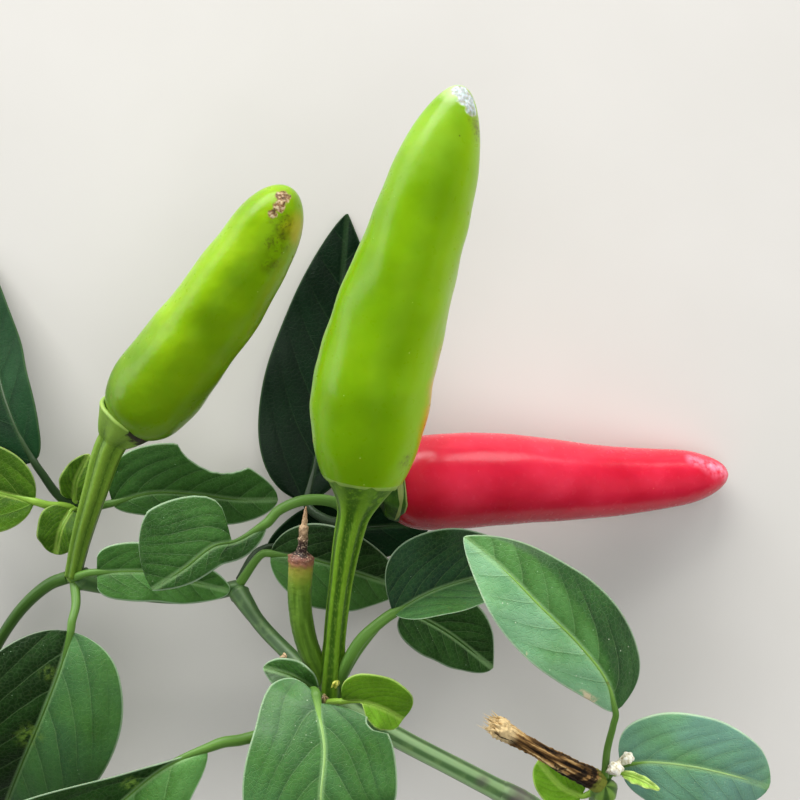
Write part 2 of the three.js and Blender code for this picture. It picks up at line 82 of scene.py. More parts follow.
class Line:
    """A line read by shares of its length, smooth between its points unless they lie close already."""

    def __init__(self, points, smooth=True):
        p = [np.array(point, float) for point in points]
        if smooth:
            p = [2 * p[0] - p[1], *p, 2 * p[-1] - p[-2]]
            stretches = [stretch_between(*four) for four in zip(p, p[1:], p[2:], p[3:])]
            p = [*stretches, p[-2]]
        self.points = np.vstack(p)
        steps = np.linalg.norm(np.diff(self.points, axis=0), axis=1)
        self.length = steps.sum()
        self.shares = np.append(0, np.cumsum(steps)) / self.length

    def at(self, share):
        inside = np.clip(share, 0, 1)
        return np.stack([np.interp(inside, self.shares, axis) for axis in self.points.T], axis=-1)

    def directions(self, share):
        """Unit directions along the line, to its right, and out of it on its upper side."""
        small = 0.004
        ahead, behind = np.clip(share + small, 0, 1), np.clip(share - small, 0, 1)
        along = self.at(ahead) - self.at(behind)
        along /= np.linalg.norm(along, axis=-1, keepdims=True)
        right = np.cross(along, (0, 0, 1))
        right /= np.linalg.norm(right, axis=-1, keepdims=True)
        return along, right, np.cross(right, along)


def spread(values, share):
    """The value at a share of the way along a list of evenly spread values."""
    return np.interp(share, np.linspace(0, 1, len(values)), values)


def mesh_from(name, places, faces, readings=None):
    """A smooth shaded mesh at places in millimetres, with a named number for each corner."""
    mesh = bpy.data.meshes.new(name)
    mesh.from_pydata(((places + SHIFT) * MM).tolist(), [], faces)
    for reading, values in (readings or {}).items():
        mesh.attributes.new(reading, "FLOAT", "POINT").data.foreach_set("value", values.astype(np.float32))
    mesh.shade_smooth()
    mesh.update()
    return mesh


def piece_from(mesh, *materials):
    """An object at the origin that shows a mesh, whose own name it takes."""
    piece = bpy.data.objects.new(mesh.name, mesh)
    bpy.context.scene.collection.objects.link(piece)
    for material in materials:
        mesh.materials.append(material)
    return piece


print("line through three points, mm:", round(Line([(0, 0, 0), (10, 4, 0), (20, 0, 0)]).length, 2))

# %% [markdown]
# ## Making finishes
# A finish is a node material. The same few steps come back in each one: read a number that the mesh
# carries, make a noise at a size in millimetres, pick colours from a ramp, lay one colour over another,
# and raise a bump. A small class with one method for each step keeps every finish short enough to read.

# %% Steps of a finish


def ink(red, green, blue):
    """A colour as it is seen, from 0 to 255, turned into the linear numbers that shaders work with."""
    seen = np.array([red, green, blue]) / 255
    linear = np.where(seen <= 0.04045, seen / 12.92, ((seen + 0.055) / 1.055) ** 2.4)
    return (*linear.tolist(), 1.0)


class Finish:
    """A material whose methods each add a node and give back what comes out of it."""

    def __init__(self, name, roughness=0.5, **constants):
        self.material = bpy.data.materials.new(name)
        self.material.use_nodes = True
        self.tree = self.material.node_tree
        self.shader = self.tree.nodes["Principled BSDF"]
        self.shader.inputs["Roughness"].default_value = roughness
        for socket, value in constants.items():
            self.shader.inputs[socket.replace("_", " ")].default_value = value
        spot = self.tree.nodes.new("ShaderNodeTexCoord").outputs["Object"]
        self.place = self.node("ShaderNodeVectorMath", {0: spot, "Scale": 1 / MM}, operation="SCALE")

    def node(self, kind, inputs, output=0, **settings):
        made = self.tree.nodes.new(kind)
        for setting, value in settings.items():
            setattr(made, setting, value)
        for socket, value in inputs.items():
            if isinstance(value, bpy.types.NodeSocket):
                self.tree.links.new(value, made.inputs[socket])
            else:
                made.inputs[socket].default_value = value
        return made.outputs[output]

    def reading(self, name):
        """A number that the mesh carries at its corners."""
        return self.node("ShaderNodeAttribute", {}, "Fac", attribute_name=name)

    def maths(self, operation, *values):
        return self.node("ShaderNodeMath", dict(enumerate(values)), operation=operation)

    def step(self, value, low, high):
        """0 up to low, 1 from high, and a soft rise between. It falls where low is above high."""
        inputs = {0: value, 1: low, 2: high, 3: 0.0, 4: 1.0}
        if low > high:
            inputs = {0: value, 1: high, 2: low, 3: 1.0, 4: 0.0}
        return self.node("ShaderNodeMapRange", inputs, interpolation_type="SMOOTHSTEP")

    def noise(self, size, detail=2.0, vector=None, distortion=0.0):
        """Soft noise whose swells are about size millimetres across."""
        inputs = {
            "Vector": vector or self.place,
            "Scale": 1 / size,
            "Detail": detail,
            "Distortion": distortion,
        }
        return self.node("ShaderNodeTexNoise", inputs, "Fac")

    def cells(self, size, feature):
        """Distance to the nearest middle, or to the edge, of cells about size millimetres across."""
        inputs = {"Vector": self.place, "Scale": 1 / size}
        return self.node("ShaderNodeTexVoronoi", inputs, "Distance", feature=feature)

    def stretched(self, x, y, z):
        """The place with each axis scaled, so that a noise draws out along the smallest."""
        return self.node("ShaderNodeVectorMath", {0: self.place, 1: (x, y, z)}, operation="MULTIPLY")

    def drawn_out(self, **scales):
        """A place made of two readings. A noise there is drawn out along the one with the lower scale."""
        parts = [self.maths("MULTIPLY", self.reading(name), scale) for name, scale in scales.items()]
        return self.node("ShaderNodeCombineXYZ", dict(enumerate(parts)))

    def mix(self, share, under, over):
        """One colour over another."""
        return self.node("ShaderNodeMix", {0: share, 6: under, 7: over}, 2, data_type="RGBA")

    def lay(self, here, strength, under, over):
        """One colour over another, as strongly as the two shares say together."""
        return self.mix(self.maths("MULTIPLY", here, strength), under, over)

    def sway(self, size, detail, reach):
        """Soft noise about 0, which spreads over a reach."""
        return self.maths("MULTIPLY", self.maths("SUBTRACT", self.noise(size, detail), 0.5), reach)

    def ramp(self, value, stops):
        made = self.node("ShaderNodeValToRGB", {0: value})
        colours = made.node.color_ramp
        colours.elements[0].position, colours.elements[0].color = stops[0]
        colours.elements[1].position, colours.elements[1].color = stops[-1]
        for position, colour in stops[1:-1]:
            colours.elements.new(position).color = colour
        return made

    def spot(self, middle, radius, ragged=0.5):
        """1 within a radius of a place in the measures' frame, with an edge that wanders."""
        centre = tuple(np.array(middle) + SHIFT)
        away = self.node("ShaderNodeVectorMath", {0: self.place, 1: centre}, "Value", operation="DISTANCE")
        wander = self.maths("MULTIPLY", self.noise(radius * 0.5, 3.0), radius * ragged * 2)
        edge = self.maths("ADD", away, self.maths("SUBTRACT", wander, radius * ragged))
        return self.step(edge, radius, radius * 0.55)

    def glow(self, middle, radius):
        """1 at a place in the measures' frame, fading softly to 0 at a radius."""
        centre = tuple(np.array(middle) + SHIFT)
        away = self.node("ShaderNodeVectorMath", {0: self.place, 1: centre}, "Value", operation="DISTANCE")
        wander = self.sway(3.0, 2.0, radius * 0.6)
        return self.step(self.maths("ADD", away, wander), radius, radius * 0.1)

    def bump(self, height, millimetres, under=None):
        inputs = {"Height": height, "Distance": millimetres * MM, "Strength": 1.0}
        if under is not None:
            inputs["Normal"] = under
        return self.node("ShaderNodeBump", inputs)

    def finish(self, colour, roughness=None, normal=None):
        links = {"Base Color": colour, "Roughness": roughness, "Normal": normal}
        for socket, value in links.items():
            if value is not None:
                self.tree.links.new(value, self.shader.inputs[socket])
        print("finish", self.material.name, "has", len(self.tree.nodes), "nodes")
        return self.material


# %% [markdown]
# ## The fruits
# A chilli is a hollow pod that widens just past its calyx and tapers to a blunt blossom end, with a
# smooth waxy skin. It is a turned shape, so a lathe or a Spin would give it straight away. This fruit
# bends, and its skin has shallow lobes and dents, so its rings are set one by one along a bent line and
# the radius is scaled by a relief. Each corner keeps its share of the length and its turn about the line,
# which the skin reads to place its marks.

# %% The fruits' measures
# A scar's spots and a hollow are placed by a share of the length and degrees from the upper side.
FRUITS = {
    "fruit_middle_green": {
        "points": [(-6.3, -12.6, 45), (-4, 4, 48), (2, 24.2, 52), (9.7, 49.2, 56)],
        "radius": 9.8,
        "form": {"drop": 0.3, "bend": 2.4, "widest": 0.24, "taper": 0.45, "blunt": 0.26},
        "relief": {"lobes": 0.014, "dents": 0.018, "turn": 0.5, "wobble": 0.05},
        "scar": [(0.984, 8, 1.8), (0.97, 30, 1.9), (0.95, 46, 1.4)],
    },
    "fruit_left_green": {
        "points": [(-48.1, -3.9, 27.6), (-38.9, 7.4, 32), (-27.9, 21.1, 37), (-18.3, 35.6, 42)],
        "radius": 8.2,
        "form": {"drop": 0.38, "bend": 4, "widest": 0.22, "taper": 0.31, "blunt": 0.22},
        "relief": {"lobes": 0.02, "dents": 0.038, "turn": 2.2, "wobble": 0.052},
        "scar": [(0.972, 2, 1.4), (0.945, 8, 1.1), (0.915, 4, 0.8)],
    },
    "fruit_right_red": {
        "points": [(-2.2, -15.5, 23.4), (19, -14.9, 16.8), (41, -15.8, 9.7), (65, -14.7, 3.33)],
        "radius": 8.9,
        "form": {"drop": 0.4, "bend": 5, "widest": 0.22, "taper": 0.5, "blunt": 0.16},
        "relief": {"lobes": 0.01, "dents": 0.012, "turn": 1.1, "wobble": 0.01},
        "scar": [(0.99, -6, 0.7), (0.958, -24, 0.9), (0.925, -32, 0.7)],
        "hollow": {"share": 0.925, "degrees": -44, "radius": 2.8, "depth": 0.4},
    },
}
TAPER_BEND = 1.25
TIP_BEND = 2.3
LOBE_COUNT = 3
LOBE_TWIST = 1.4
DENT_ROWS = 11
DENT_TWIST = 2.5
DENT_WANDER = 2
DENT_SIDE = 0.6
WOBBLE_SIZE = 6  # millimetres across the small uneven swells of the skin
SCAR_RISE = 0.06
SCAR_WRINKLES = 0.15
WRINKLE_SIZE = 1.0
SCAR_REACH = 2.2  # a scar is whole out to about 0.6 of its radius and gone at 1.1
SCAR_RAGGED = 0.6  # how far a scar's edge wanders
FRUIT_RINGS = 150
FRUIT_SIDES = 112
LAST_RING = 0.9999  # share of the length, just short of the tip that a pole closes

# %% Turning a fruit


def fruit_share(share, form):
    """A fruit's radius, as a share of its widest, at a share of its length from the calyx."""
    before = np.clip(1 - share / form["widest"], 0, 1)
    shoulder = 1 - form["drop"] * before**form["bend"]
    past = np.clip((share - form["widest"]) / (1 - form["widest"]), 0, 1)
    body = 1 - form["taper"] * past**TAPER_BEND
    near_tip = np.clip((share - (1 - form["blunt"])) / form["blunt"], 0, 1)
    return shoulder * body * np.sqrt(1 - near_tip**TIP_BEND)


def fruit_relief(share, angle, relief):
    """Shallow lobes and dents, fading towards both ends."""
    fade = np.sin(np.pi * np.clip(share, 0, 1))
    lobed = relief["lobes"] * np.cos(LOBE_COUNT * (angle - relief["turn"]) + LOBE_TWIST * share)
    rows = np.sin(DENT_ROWS * share + DENT_WANDER * np.sin(angle + relief["turn"]))
    dented = relief["dents"] * rows * np.cos(angle - DENT_SIDE + DENT_TWIST * share)
    return 1 + fade * (lobed + dented)


def turned(line, shares, radii, angles, ahead=0.0):
    """Rings of corners about a line: one ring for each share, one corner for each angle.

    A corner may also stand some millimetres ahead of its ring."""
    along, right, out = line.directions(shares)
    parts = ((radii * np.sin(angles), right), (radii * np.cos(angles), out), (ahead + 0 * radii, along))
    return line.at(shares)[:, None] + sum(distance[..., None] * way[:, None] for distance, way in parts)


def ring_faces(rings, sides):
    """Faces between rings of corners, with a pole before the first ring and one after the last."""
    faces = []
    for ring in range(rings - 1):
        for side in range(sides):
            a, b = ring * sides + side, ring * sides + (side + 1) % sides
            faces.append((a, b, b + sides, a + sides))
    first_pole, last_pole = rings * sides, rings * sides + 1
    last_ring = (rings - 1) * sides
    for side in range(sides):
        ahead = (side + 1) % sides
        faces.append((ahead, side, first_pole))
        faces.append((last_ring + side, last_ring + ahead, last_pole))
    return faces


def closed_rings(name, line, shares, radii, angles, readings, ahead=0.0):
    """A closed turned mesh, with a pole in the middle of its first and its last ring."""
    grid = turned(line, shares, radii, angles, ahead)
    poles = grid[[0, -1]].mean(axis=1)
    places = np.vstack([grid.reshape(-1, 3), poles])
    filled = {}
    for reading, values in readings.items():
        flat = np.broadcast_to(values, grid.shape[:2])
        filled[reading] = np.append(flat.ravel(), [flat[0].mean(), flat[-1].mean()])
    faces = [face[::-1] for face in ring_faces(*grid.shape[:2])]
    return mesh_from(name, places, faces, filled)


def swells_at(places, size):
    """Soft noise from -1 to 1 at each place, with swells about size millimetres across."""
    values = [noise.noise(Vector(place) / size) for place in places.reshape(-1, 3)]
    return np.reshape(values, places.shape[:-1])


def fruit_radii(fruit, shares, angles):
    relief = fruit_relief(shares[:, None], angles, fruit["relief"])
    return fruit["radius"] * fruit_share(shares, fruit["form"])[:, None] * relief


def fruit_mesh(name, fruit):
    line = Line(fruit["points"])
    shares = 0.5 - 0.5 * np.cos(np.linspace(0, np.pi, FRUIT_RINGS))
    shares[-1] = LAST_RING
    angles = np.linspace(-np.pi, np.pi, FRUIT_SIDES, endpoint=False)
    radii = fruit_radii(fruit, shares, angles)
    smooth = turned(line, shares, radii, angles)
    fade = np.sin(np.pi * shares[:, None] ** 0.7)
    radii = radii * (1 + fruit["relief"]["wobble"] * fade * swells_at(smooth, WOBBLE_SIZE))
    if "hollow" in fruit:
        hollow = fruit["hollow"]
        away = np.linalg.norm(smooth - skin_place(name, hollow["share"], hollow["degrees"]), axis=-1)
        radii = radii - hollow["depth"] * np.exp(-(away / hollow["radius"]) ** 2)
    crust = np.zeros_like(radii)
    for share, degrees, radius in fruit["scar"]:
        away = np.linalg.norm(smooth - skin_place(name, share, degrees), axis=-1) / radius
        ragged = SCAR_RAGGED * swells_at(smooth, radius * 0.5)
        crust = np.maximum(crust, np.clip(SCAR_REACH - 2 * away - ragged, 0, 1))
    radii = radii + crust * (SCAR_RISE + SCAR_WRINKLES * swells_at(smooth, WRINKLE_SIZE))
    readings = {"share": shares[:, None], "side": np.sin(angles), "scar": crust}
    return closed_rings(name, line, shares, radii, angles, readings)


def skin_place(name, share, degrees):
    """The place on a fruit's skin at a share of its length and a turn from its upper side."""
    fruit = FRUITS[name]
    shares, angles = np.array([share]), np.radians([degrees])
    return turned(Line(fruit["points"]), shares, fruit_radii(fruit, shares, angles), angles)[0, 0]


print("tip of the middle fruit, mm:", skin_place("fruit_middle_green", 0.999, 0).round(1))

# %% [markdown]
# ## The fruits' skins
# The wax makes a chilli's skin smooth and bright, so the shine comes from a thin coat over a softer
# layer, and a little light passes into the flesh. The colour isn't even. It swells between lighter and
# deeper green, and where ripening has begun it turns orange along one side. Shade is painted on each
# fruit towards its calyx. The right flank is painted lighter on the middle fruit, as painted light, and
# darker on the left fruit, and shade is painted on the red fruit's flank away from the light. The
# blossom end carries a dry corky scar with specks about it, and pale highlights are painted near the
# middle fruit's tip. On the red fruit the scar is pale pink, partly its own colour and partly a painted
# highlight, and more pale pink highlights are painted about the tip. A picture of a real skin could be
# wrapped round each fruit, but it would smear at the two ends, so the colours come from noises and from
# the numbers that the mesh carries.

# %% Green skin


def pod_skin(name, **shine):
    """The start of any fruit's skin."""
    gloss = {"Coat_Weight": 0.19, "Coat_Roughness": 0.19, "Specular_IOR_Level": 0.14,
             "Subsurface_Weight": 0.3, "Subsurface_Scale": 0.003}
    return Finish(name, **{**gloss, **shine})


def specks(skin, size, share_kept, width):
    """Small round marks in some of the cells of a pattern."""
    cell = skin.cells(size, "F1")
    chance = skin.node("ShaderNodeSeparateColor", {0: cell.node.outputs["Color"]})
    picked = skin.step(chance, 1 - share_kept, 1)
    here = skin.step(picked, 0.0, 0.05)
    return skin.maths("MULTIPLY", skin.step(cell, width / size, width / size * 0.4), here)


def green_skin(name, marks):
    skin = pod_skin(name)
    swell = skin.noise(9, 3.0)
    colour = skin.ramp(swell, [(0.3, marks["deep"]), (0.5, marks["mid"]), (0.72, marks["light"])])
    # Painted shade towards the calyx end.
    low = skin.step(skin.reading("share"), *marks["low"])
    colour = skin.lay(low, marks["calyx_shade_weight"], colour, marks["calyx_shade_colour"])
    # The right flank is painted: lighter on the middle fruit, as painted light, and darker on the left
    # fruit.
    right_flank = skin.step(skin.reading("side"), 0.2, 0.95)
    colour = skin.lay(right_flank, marks["right_flank_weight"], colour, marks["right_flank_colour"])
    for place, radius, tint, weight in marks["patches"]:
        colour = skin.lay(skin.glow(place, radius), weight, colour, tint)
    colour = skin.lay(specks(skin, 2.6, 0.5, 0.16), 0.55, colour, ink(196, 214, 120))
    colour = skin.lay(specks(skin, 5.2, 0.3, 0.22), 0.8, colour, ink(62, 66, 18))
    scar = skin.reading("scar")
    colour = skin.lay(skin.step(scar, 0.0, 0.5), 0.7, colour, marks["halo"])
    cork = skin.step(skin.maths("ADD", scar, skin.maths("MULTIPLY", skin.noise(0.5, 4.0), 0.8)), 0.55, 1.15)
    crust = skin.noise(0.55, 4.0)
    colour = skin.mix(cork, colour, skin.ramp(crust, marks["cork_colours"]))
    for place, radius in marks["scabs"]:
        cloudy = skin.step(skin.noise(1.6, 3.0), 0.3, 0.7)
        smudge = skin.maths("MULTIPLY", skin.glow(place, radius * 1.5), cloudy)
        colour = skin.lay(smudge, 0.75, colour, marks["smudge"])
        crumbs = skin.step(skin.noise(0.5, 3.0), 0.48, 0.66)
        broken = skin.maths("MULTIPLY", skin.spot(place, radius, 0.9), crumbs)
        colour = skin.lay(broken, 0.55, colour, ink(84, 76, 26))
    roughness = skin.maths("ADD", skin.maths("MULTIPLY", skin.noise(1.3, 3.0), 0.16), 0.22)
    roughness = skin.maths("ADD", roughness, skin.maths("MULTIPLY", cork, 0.5))
    fine = skin.bump(skin.noise(0.35, 2.0), 0.012)
    swells = skin.bump(skin.noise(4.2, 2.0), marks["lumps"], fine)
    raised = skin.bump(skin.maths("MULTIPLY", cork, crust), 0.16, swells)
    return skin.finish(colour, roughness, raised)


MIDDLE, LEFT, RED = FRUITS
middle_skin = green_skin("skin_green_middle", {
    "deep": ink(102, 145, 3),
    "mid": ink(110, 153, 4),
    "light": ink(120, 163, 8),
    # Shade is painted towards the calyx, and light on the right flank.
    "low": (0.3, 0.0),
    "calyx_shade_weight": 0.5,
    "calyx_shade_colour": ink(98, 140, 4),
    "right_flank_weight": 0.55,
    "right_flank_colour": ink(150, 190, 8),
    "smudge": ink(112, 128, 30),
    "lumps": 0.16,
    "patches": [
        (skin_place(MIDDLE, 0.17, 92), 6, ink(224, 130, 20), 0.65),
        (skin_place(MIDDLE, 0.26, 90), 5, ink(216, 134, 20), 0.55),
        (skin_place(MIDDLE, 0.35, 90), 4.5, ink(196, 150, 24), 0.35),
        (skin_place(MIDDLE, 0.22, -4), 4.5, ink(84, 124, 4), 0.3),
        # The two pale patches on the upper left near the tip are painted highlight.
        (skin_place(MIDDLE, 0.86, -30), 9, ink(156, 198, 60), 0.3),
        (skin_place(MIDDLE, 0.985, -30), 3.4, ink(196, 218, 160), 0.6),
    ],
    "halo": ink(176, 204, 130),
    "cork_colours": [(0.3, ink(150, 150, 116)), (0.46, ink(160, 172, 168)), (0.64, ink(196, 206, 208))],
    "scabs": [(skin_place(MIDDLE, 0.925, 58), 1.7), (skin_place(MIDDLE, 0.9, 66), 1.6),
              (skin_place(MIDDLE, 0.07, 52), 1.5)],
})
left_skin = green_skin("skin_green_left", {
    "deep": ink(106, 147, 6),
    "mid": ink(124, 164, 8),
    "light": ink(137, 177, 14),
    # Shade is painted towards the calyx, and the right flank is darker.
    "low": (0.5, 0.0),
    "calyx_shade_weight": 0.7,
    "calyx_shade_colour": ink(74, 110, 5),
    "right_flank_weight": 0.3,
    "right_flank_colour": ink(112, 138, 10),
    "smudge": ink(84, 98, 16),
    "lumps": 0.34,
    "patches": [
        (skin_place(LEFT, 0.9, 66), 4.5, ink(206, 168, 40), 0.5),
        (skin_place(LEFT, 0.5, 10), 6, ink(104, 142, 6), 0.4),
        (skin_place(LEFT, 0.75, -30), 6, ink(164, 204, 36), 0.4),
    ],
    "halo": ink(150, 140, 60),
    "cork_colours": [(0.34, ink(72, 50, 34)), (0.5, ink(140, 108, 74)), (0.64, ink(200, 180, 146))],
    "scabs": [(skin_place(LEFT, 0.9, 32), 2.3), (skin_place(LEFT, 0.84, 38), 2.4),
              (skin_place(LEFT, 0.77, 44), 1.7)],
})

# %% Red skin
# Pale pink highlights painted near the tip, each a share of the length, degrees from the upper side and a
# radius.
RED_PAINTED_GLINTS = [(0.97, -12, 2.4), (0.94, -26, 3.0), (0.91, -34, 3.0), (0.87, -42, 2.4)]


def red_skin():
    skin = pod_skin("skin_red", Coat_Weight=0.34, Coat_Roughness=0.22)
    swell = skin.noise(8, 3.0)
    colour = skin.ramp(swell, [(0.3, ink(196, 26, 50)), (0.5, ink(208, 34, 60)), (0.72, ink(220, 48, 74))])
    shadow = skin.step(skin.reading("share"), 0.16, 0.0)
    colour = skin.lay(shadow, 0.6, colour, ink(150, 14, 22))
    # Painted shade on the flank away from the light.
    painted_shade = skin.step(skin.reading("side"), 0.1, 0.95)
    colour = skin.lay(painted_shade, 0.6, colour, ink(148, 16, 34))
    cloudy = skin.step(skin.noise(1.6, 3.0), 0.3, 0.6)
    # Pale pink painted highlights near the tip.
    for share, degrees, radius in RED_PAINTED_GLINTS:
        painted_glint = skin.maths("MULTIPLY", skin.glow(skin_place(RED, share, degrees), radius), cloudy)
        colour = skin.lay(painted_glint, 0.62, colour, ink(246, 156, 182))
    # The scar near the tip is pale pink, partly its own colour and partly a painted highlight.
    broken = skin.step(skin.noise(0.9, 3.0), 0.42, 0.62)
    scar_and_glint = skin.maths("MULTIPLY", skin.step(skin.reading("scar"), 0.1, 0.7), broken)
    colour = skin.lay(scar_and_glint, 0.4, colour, ink(248, 190, 200))
    tip = skin.step(skin.reading("share"), 0.993, 0.999)
    colour = skin.lay(tip, 0.7, colour, ink(126, 44, 30))
    colour = skin.lay(specks(skin, 3.4, 0.4, 0.16), 0.5, colour, ink(240, 140, 120))
    roughness = skin.maths("ADD", skin.maths("MULTIPLY", skin.noise(1.1, 3.0), 0.18), 0.16)
    fine = skin.bump(skin.noise(0.4, 2.0), 0.015)
    return skin.finish(colour, roughness, skin.bump(skin.noise(3.2, 2.0), 0.16, fine))


skins = dict(zip(FRUITS, (middle_skin, left_skin, red_skin())))

# %% Setting out the fruits
pieces = []


def hand_in(piece, node):
    """The piece rides on the sprig's one body and stands for its solid."""
    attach(piece, "root")
    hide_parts(node)
    pieces.append(piece)


for name, fruit in FRUITS.items():
    piece = piece_from(fruit_mesh(name, fruit), skins[name])
    hand_in(piece, name)
    print(name, "has", len(piece.data.polygons), "faces")

# %% [markdown]
# ## Fruit stalks and their calyxes
# A fruit hangs from a ridged stalk that flares into a cup, the calyx. Its rim has a small tooth at the
# end of each ridge and clasps the foot of the fruit. The stalk and the cup are one piece on the plant, so
# they are one turned mesh here. The rings run up the outside, over the lip and a little way back down
# inside, where the fruit hides the end.

# %% The stalks' measures
STALKS = {
    "stalk_middle": {
        "points": [(-11.9, -51.8, 36.5), (-10.8, -37.4, 39.5), (-8.9, -24.3, 42.3), (-6.9, -15.6, 44.4),
                   (-6.3, -12, 45.1)],
        "radii": [2.3, 1.8, 1.9, 2.5],
        "cup": {"depth": 8.5, "radius": 7, "lip": 0.35, "teeth": 0.45},
        "turn": 0.35,
    },
    "stalk_left": {
        "points": [(-60.1, -32.5, 22.5), (-58.4, -25.6, 23.2), (-55.3, -16.4, 25), (-52.3, -8.4, 26.6),
                   (-48.4, -3.1, 28.2)],
        "radii": [1.5, 1.9, 2.3, 2.8],
        "cup": {"depth": 5.2, "radius": 6, "bend": 0.8, "lip": 0.9, "teeth": 0.1},
        "turn": 0.1,
    },
    "stalk_right": {
        "points": [(-8.8, -23.5, 21), (-7.2, -18.8, 22.6), (-4.6, -15.8, 24), (-1, -15.3, 23)],
        "radii": [1.5, 1.6, 1.9],
        "cup": {"depth": 4.4, "radius": 7, "bend": 0.5, "lip": 0.3, "teeth": 0.15},
        "turn": 0.6,
    },
}
FLARE_BEND = 1.6
STALK_RIDGES = 6
RIDGE_HEIGHT = 0.07  # as a share of the radius
STALK_SIDES = 96
SHAFT_RINGS = 60
FLARE_RINGS = 30
LIP_RINGS = 9
INSIDE_STEPS = (1.1, 1.5)  # how far in from the rim the last two rings stand, in widths of the lip
INSIDE_DEPTHS = (-0.4, -1.2)  # and how far back down, in millimetres

# %% Turning a stalk


def stalk_mesh(name, stalk):
    line = Line(stalk["points"])
    cup = stalk["cup"]
    cup_start = 1 - cup["depth"] / line.length
    shaft = np.linspace(0, cup_start, SHAFT_RINGS, endpoint=False)
    flare = np.linspace(0, 1, FLARE_RINGS, endpoint=False)
    roll = np.linspace(0, np.pi, LIP_RINGS)
    half_lip = cup["lip"] / 2
    throat = stalk["radii"][-1]
    cup_radii = throat + (cup["radius"] - throat) * flare ** cup.get("bend", FLARE_BEND)
    lip_radii = cup["radius"] - half_lip + half_lip * np.cos(roll)
    inside = cup["radius"] - cup["lip"] * np.array(INSIDE_STEPS)
    shares = np.concatenate([shaft, cup_start + (1 - cup_start) * flare, np.ones(LIP_RINGS + 2)])
    radii = np.concatenate([spread(stalk["radii"], shaft / cup_start), cup_radii, lip_radii, inside])
    ahead = np.concatenate([np.zeros(SHAFT_RINGS + FLARE_RINGS), half_lip * np.sin(roll), INSIDE_DEPTHS])
    angles = np.linspace(-np.pi, np.pi, STALK_SIDES, endpoint=False)
    wave = np.cos(STALK_RIDGES * (angles - stalk["turn"]) + 0.5 * np.sin(angles))
    up = np.clip((shares - cup_start) / (1 - cup_start), 0, 1)[:, None]
    low_ridges = 1 + RIDGE_HEIGHT * wave * (1 - 0.8 * up)
    teeth = cup["teeth"] * (np.clip(wave, 0, 1) ** 5 + 0.3 * np.sin(3 * angles + 1)) * up**8
    readings = {"ridge": wave, "up": up, "along": shares[:, None] * line.length}
    radii = radii[:, None] * low_ridges
    return closed_rings(name, line, shares, radii, angles, readings, ahead[:, None] + teeth)


# %% Stalk skin


def stalk_skin(name, valley, crest, rim, cup, scorched=()):
    skin = Finish(name, Coat_Weight=0.06, Coat_Roughness=0.35, Specular_IOR_Level=0.3,
                  Subsurface_Weight=0.06, Subsurface_Scale=0.001)
    blotch = skin.noise(1.6, 4.0)
    height = skin.maths("ADD", skin.reading("ridge"), skin.maths("SUBTRACT", blotch, 0.5))
    ridge = skin.step(height, -0.6, 0.8)
    colour = skin.mix(ridge, valley, crest)
    # Painted shade in the deepest grooves.
    groove = skin.step(skin.reading("ridge"), -0.8, -0.98)
    colour = skin.lay(groove, 0.5, colour, ink(46, 78, 12))
    grain = skin.noise(0.3, 3.0, skin.stretched(1, 0.35, 1))
    colour = skin.lay(skin.step(grain, 0.5, 0.66), 0.28, colour, ink(132, 166, 60))
    foot = skin.step(skin.reading("along"), 22, 3)
    colour = skin.lay(foot, 0.4, colour, ink(40, 70, 12))
    cup_shade = skin.step(skin.reading("up"), 0.1, 0.8)
    colour = skin.lay(cup_shade, 0.55, colour, cup)
    curds = skin.noise(1.1, 4.0)
    colour = skin.lay(cup_shade, skin.step(curds, 0.5, 0.66), colour, crest)
    colour = skin.lay(specks(skin, 0.9, 0.25, 0.1), 0.7, colour, ink(40, 62, 16))
    lip = skin.step(skin.reading("up"), 0.94, 0.99)
    colour = skin.lay(lip, 0.6, colour, rim)
    for place, radius in scorched:
        colour = skin.mix(skin.spot(place, radius, 0.8), colour, ink(36, 28, 16))
    roughness = skin.maths("ADD", skin.maths("MULTIPLY", blotch, 0.2), 0.35)
    fine = skin.bump(grain, 0.03)
    return skin.finish(colour, roughness, skin.bump(blotch, 0.12, fine))


SCORCHED = [((-46.6, -6, 32.9), 1.5), ((-45.2, -6.7, 31.6), 2.6), ((-45.4, -8.2, 30.4), 1.8)]
stalk_skins = {
    "stalk_middle": stalk_skin("skin_stalk_middle", ink(50, 86, 5), ink(100, 140, 26), ink(160, 190, 92),
                               ink(66, 104, 10)),
    "stalk_left": stalk_skin("skin_stalk_left", ink(90, 124, 32), ink(110, 144, 42), ink(160, 190, 92),
                             ink(118, 150, 50), SCORCHED),
    "stalk_right": stalk_skin("skin_stalk_right", ink(30, 58, 16), ink(60, 98, 26), ink(168, 178, 104),
                              ink(36, 66, 16)),
}
for name, stalk in STALKS.items():
    piece = piece_from(stalk_mesh(name, stalk), stalk_skins[name])
    hand_in(piece, name)
    print(name, "has", len(piece.data.polygons), "faces")

# %% [markdown]
# ## Stems
# A young chilli stem is round with low ridges that run its whole length, pale on the ridge and dark in
# the groove, and it swells where it forks. It is the same shape again and again along different paths, so
# one node tree makes them all. The tree turns a path into a curve, sweeps a ridged ring along it, and
# writes on the mesh how far along and how high on a ridge each corner is.

# %% The stem tree


def socket_in(tree, name, kind, value=None):
    made = tree.interface.new_socket(name=name, in_out="INPUT", socket_type=kind)
    if value is not None:
        made.default_value = value
    return made.identifier


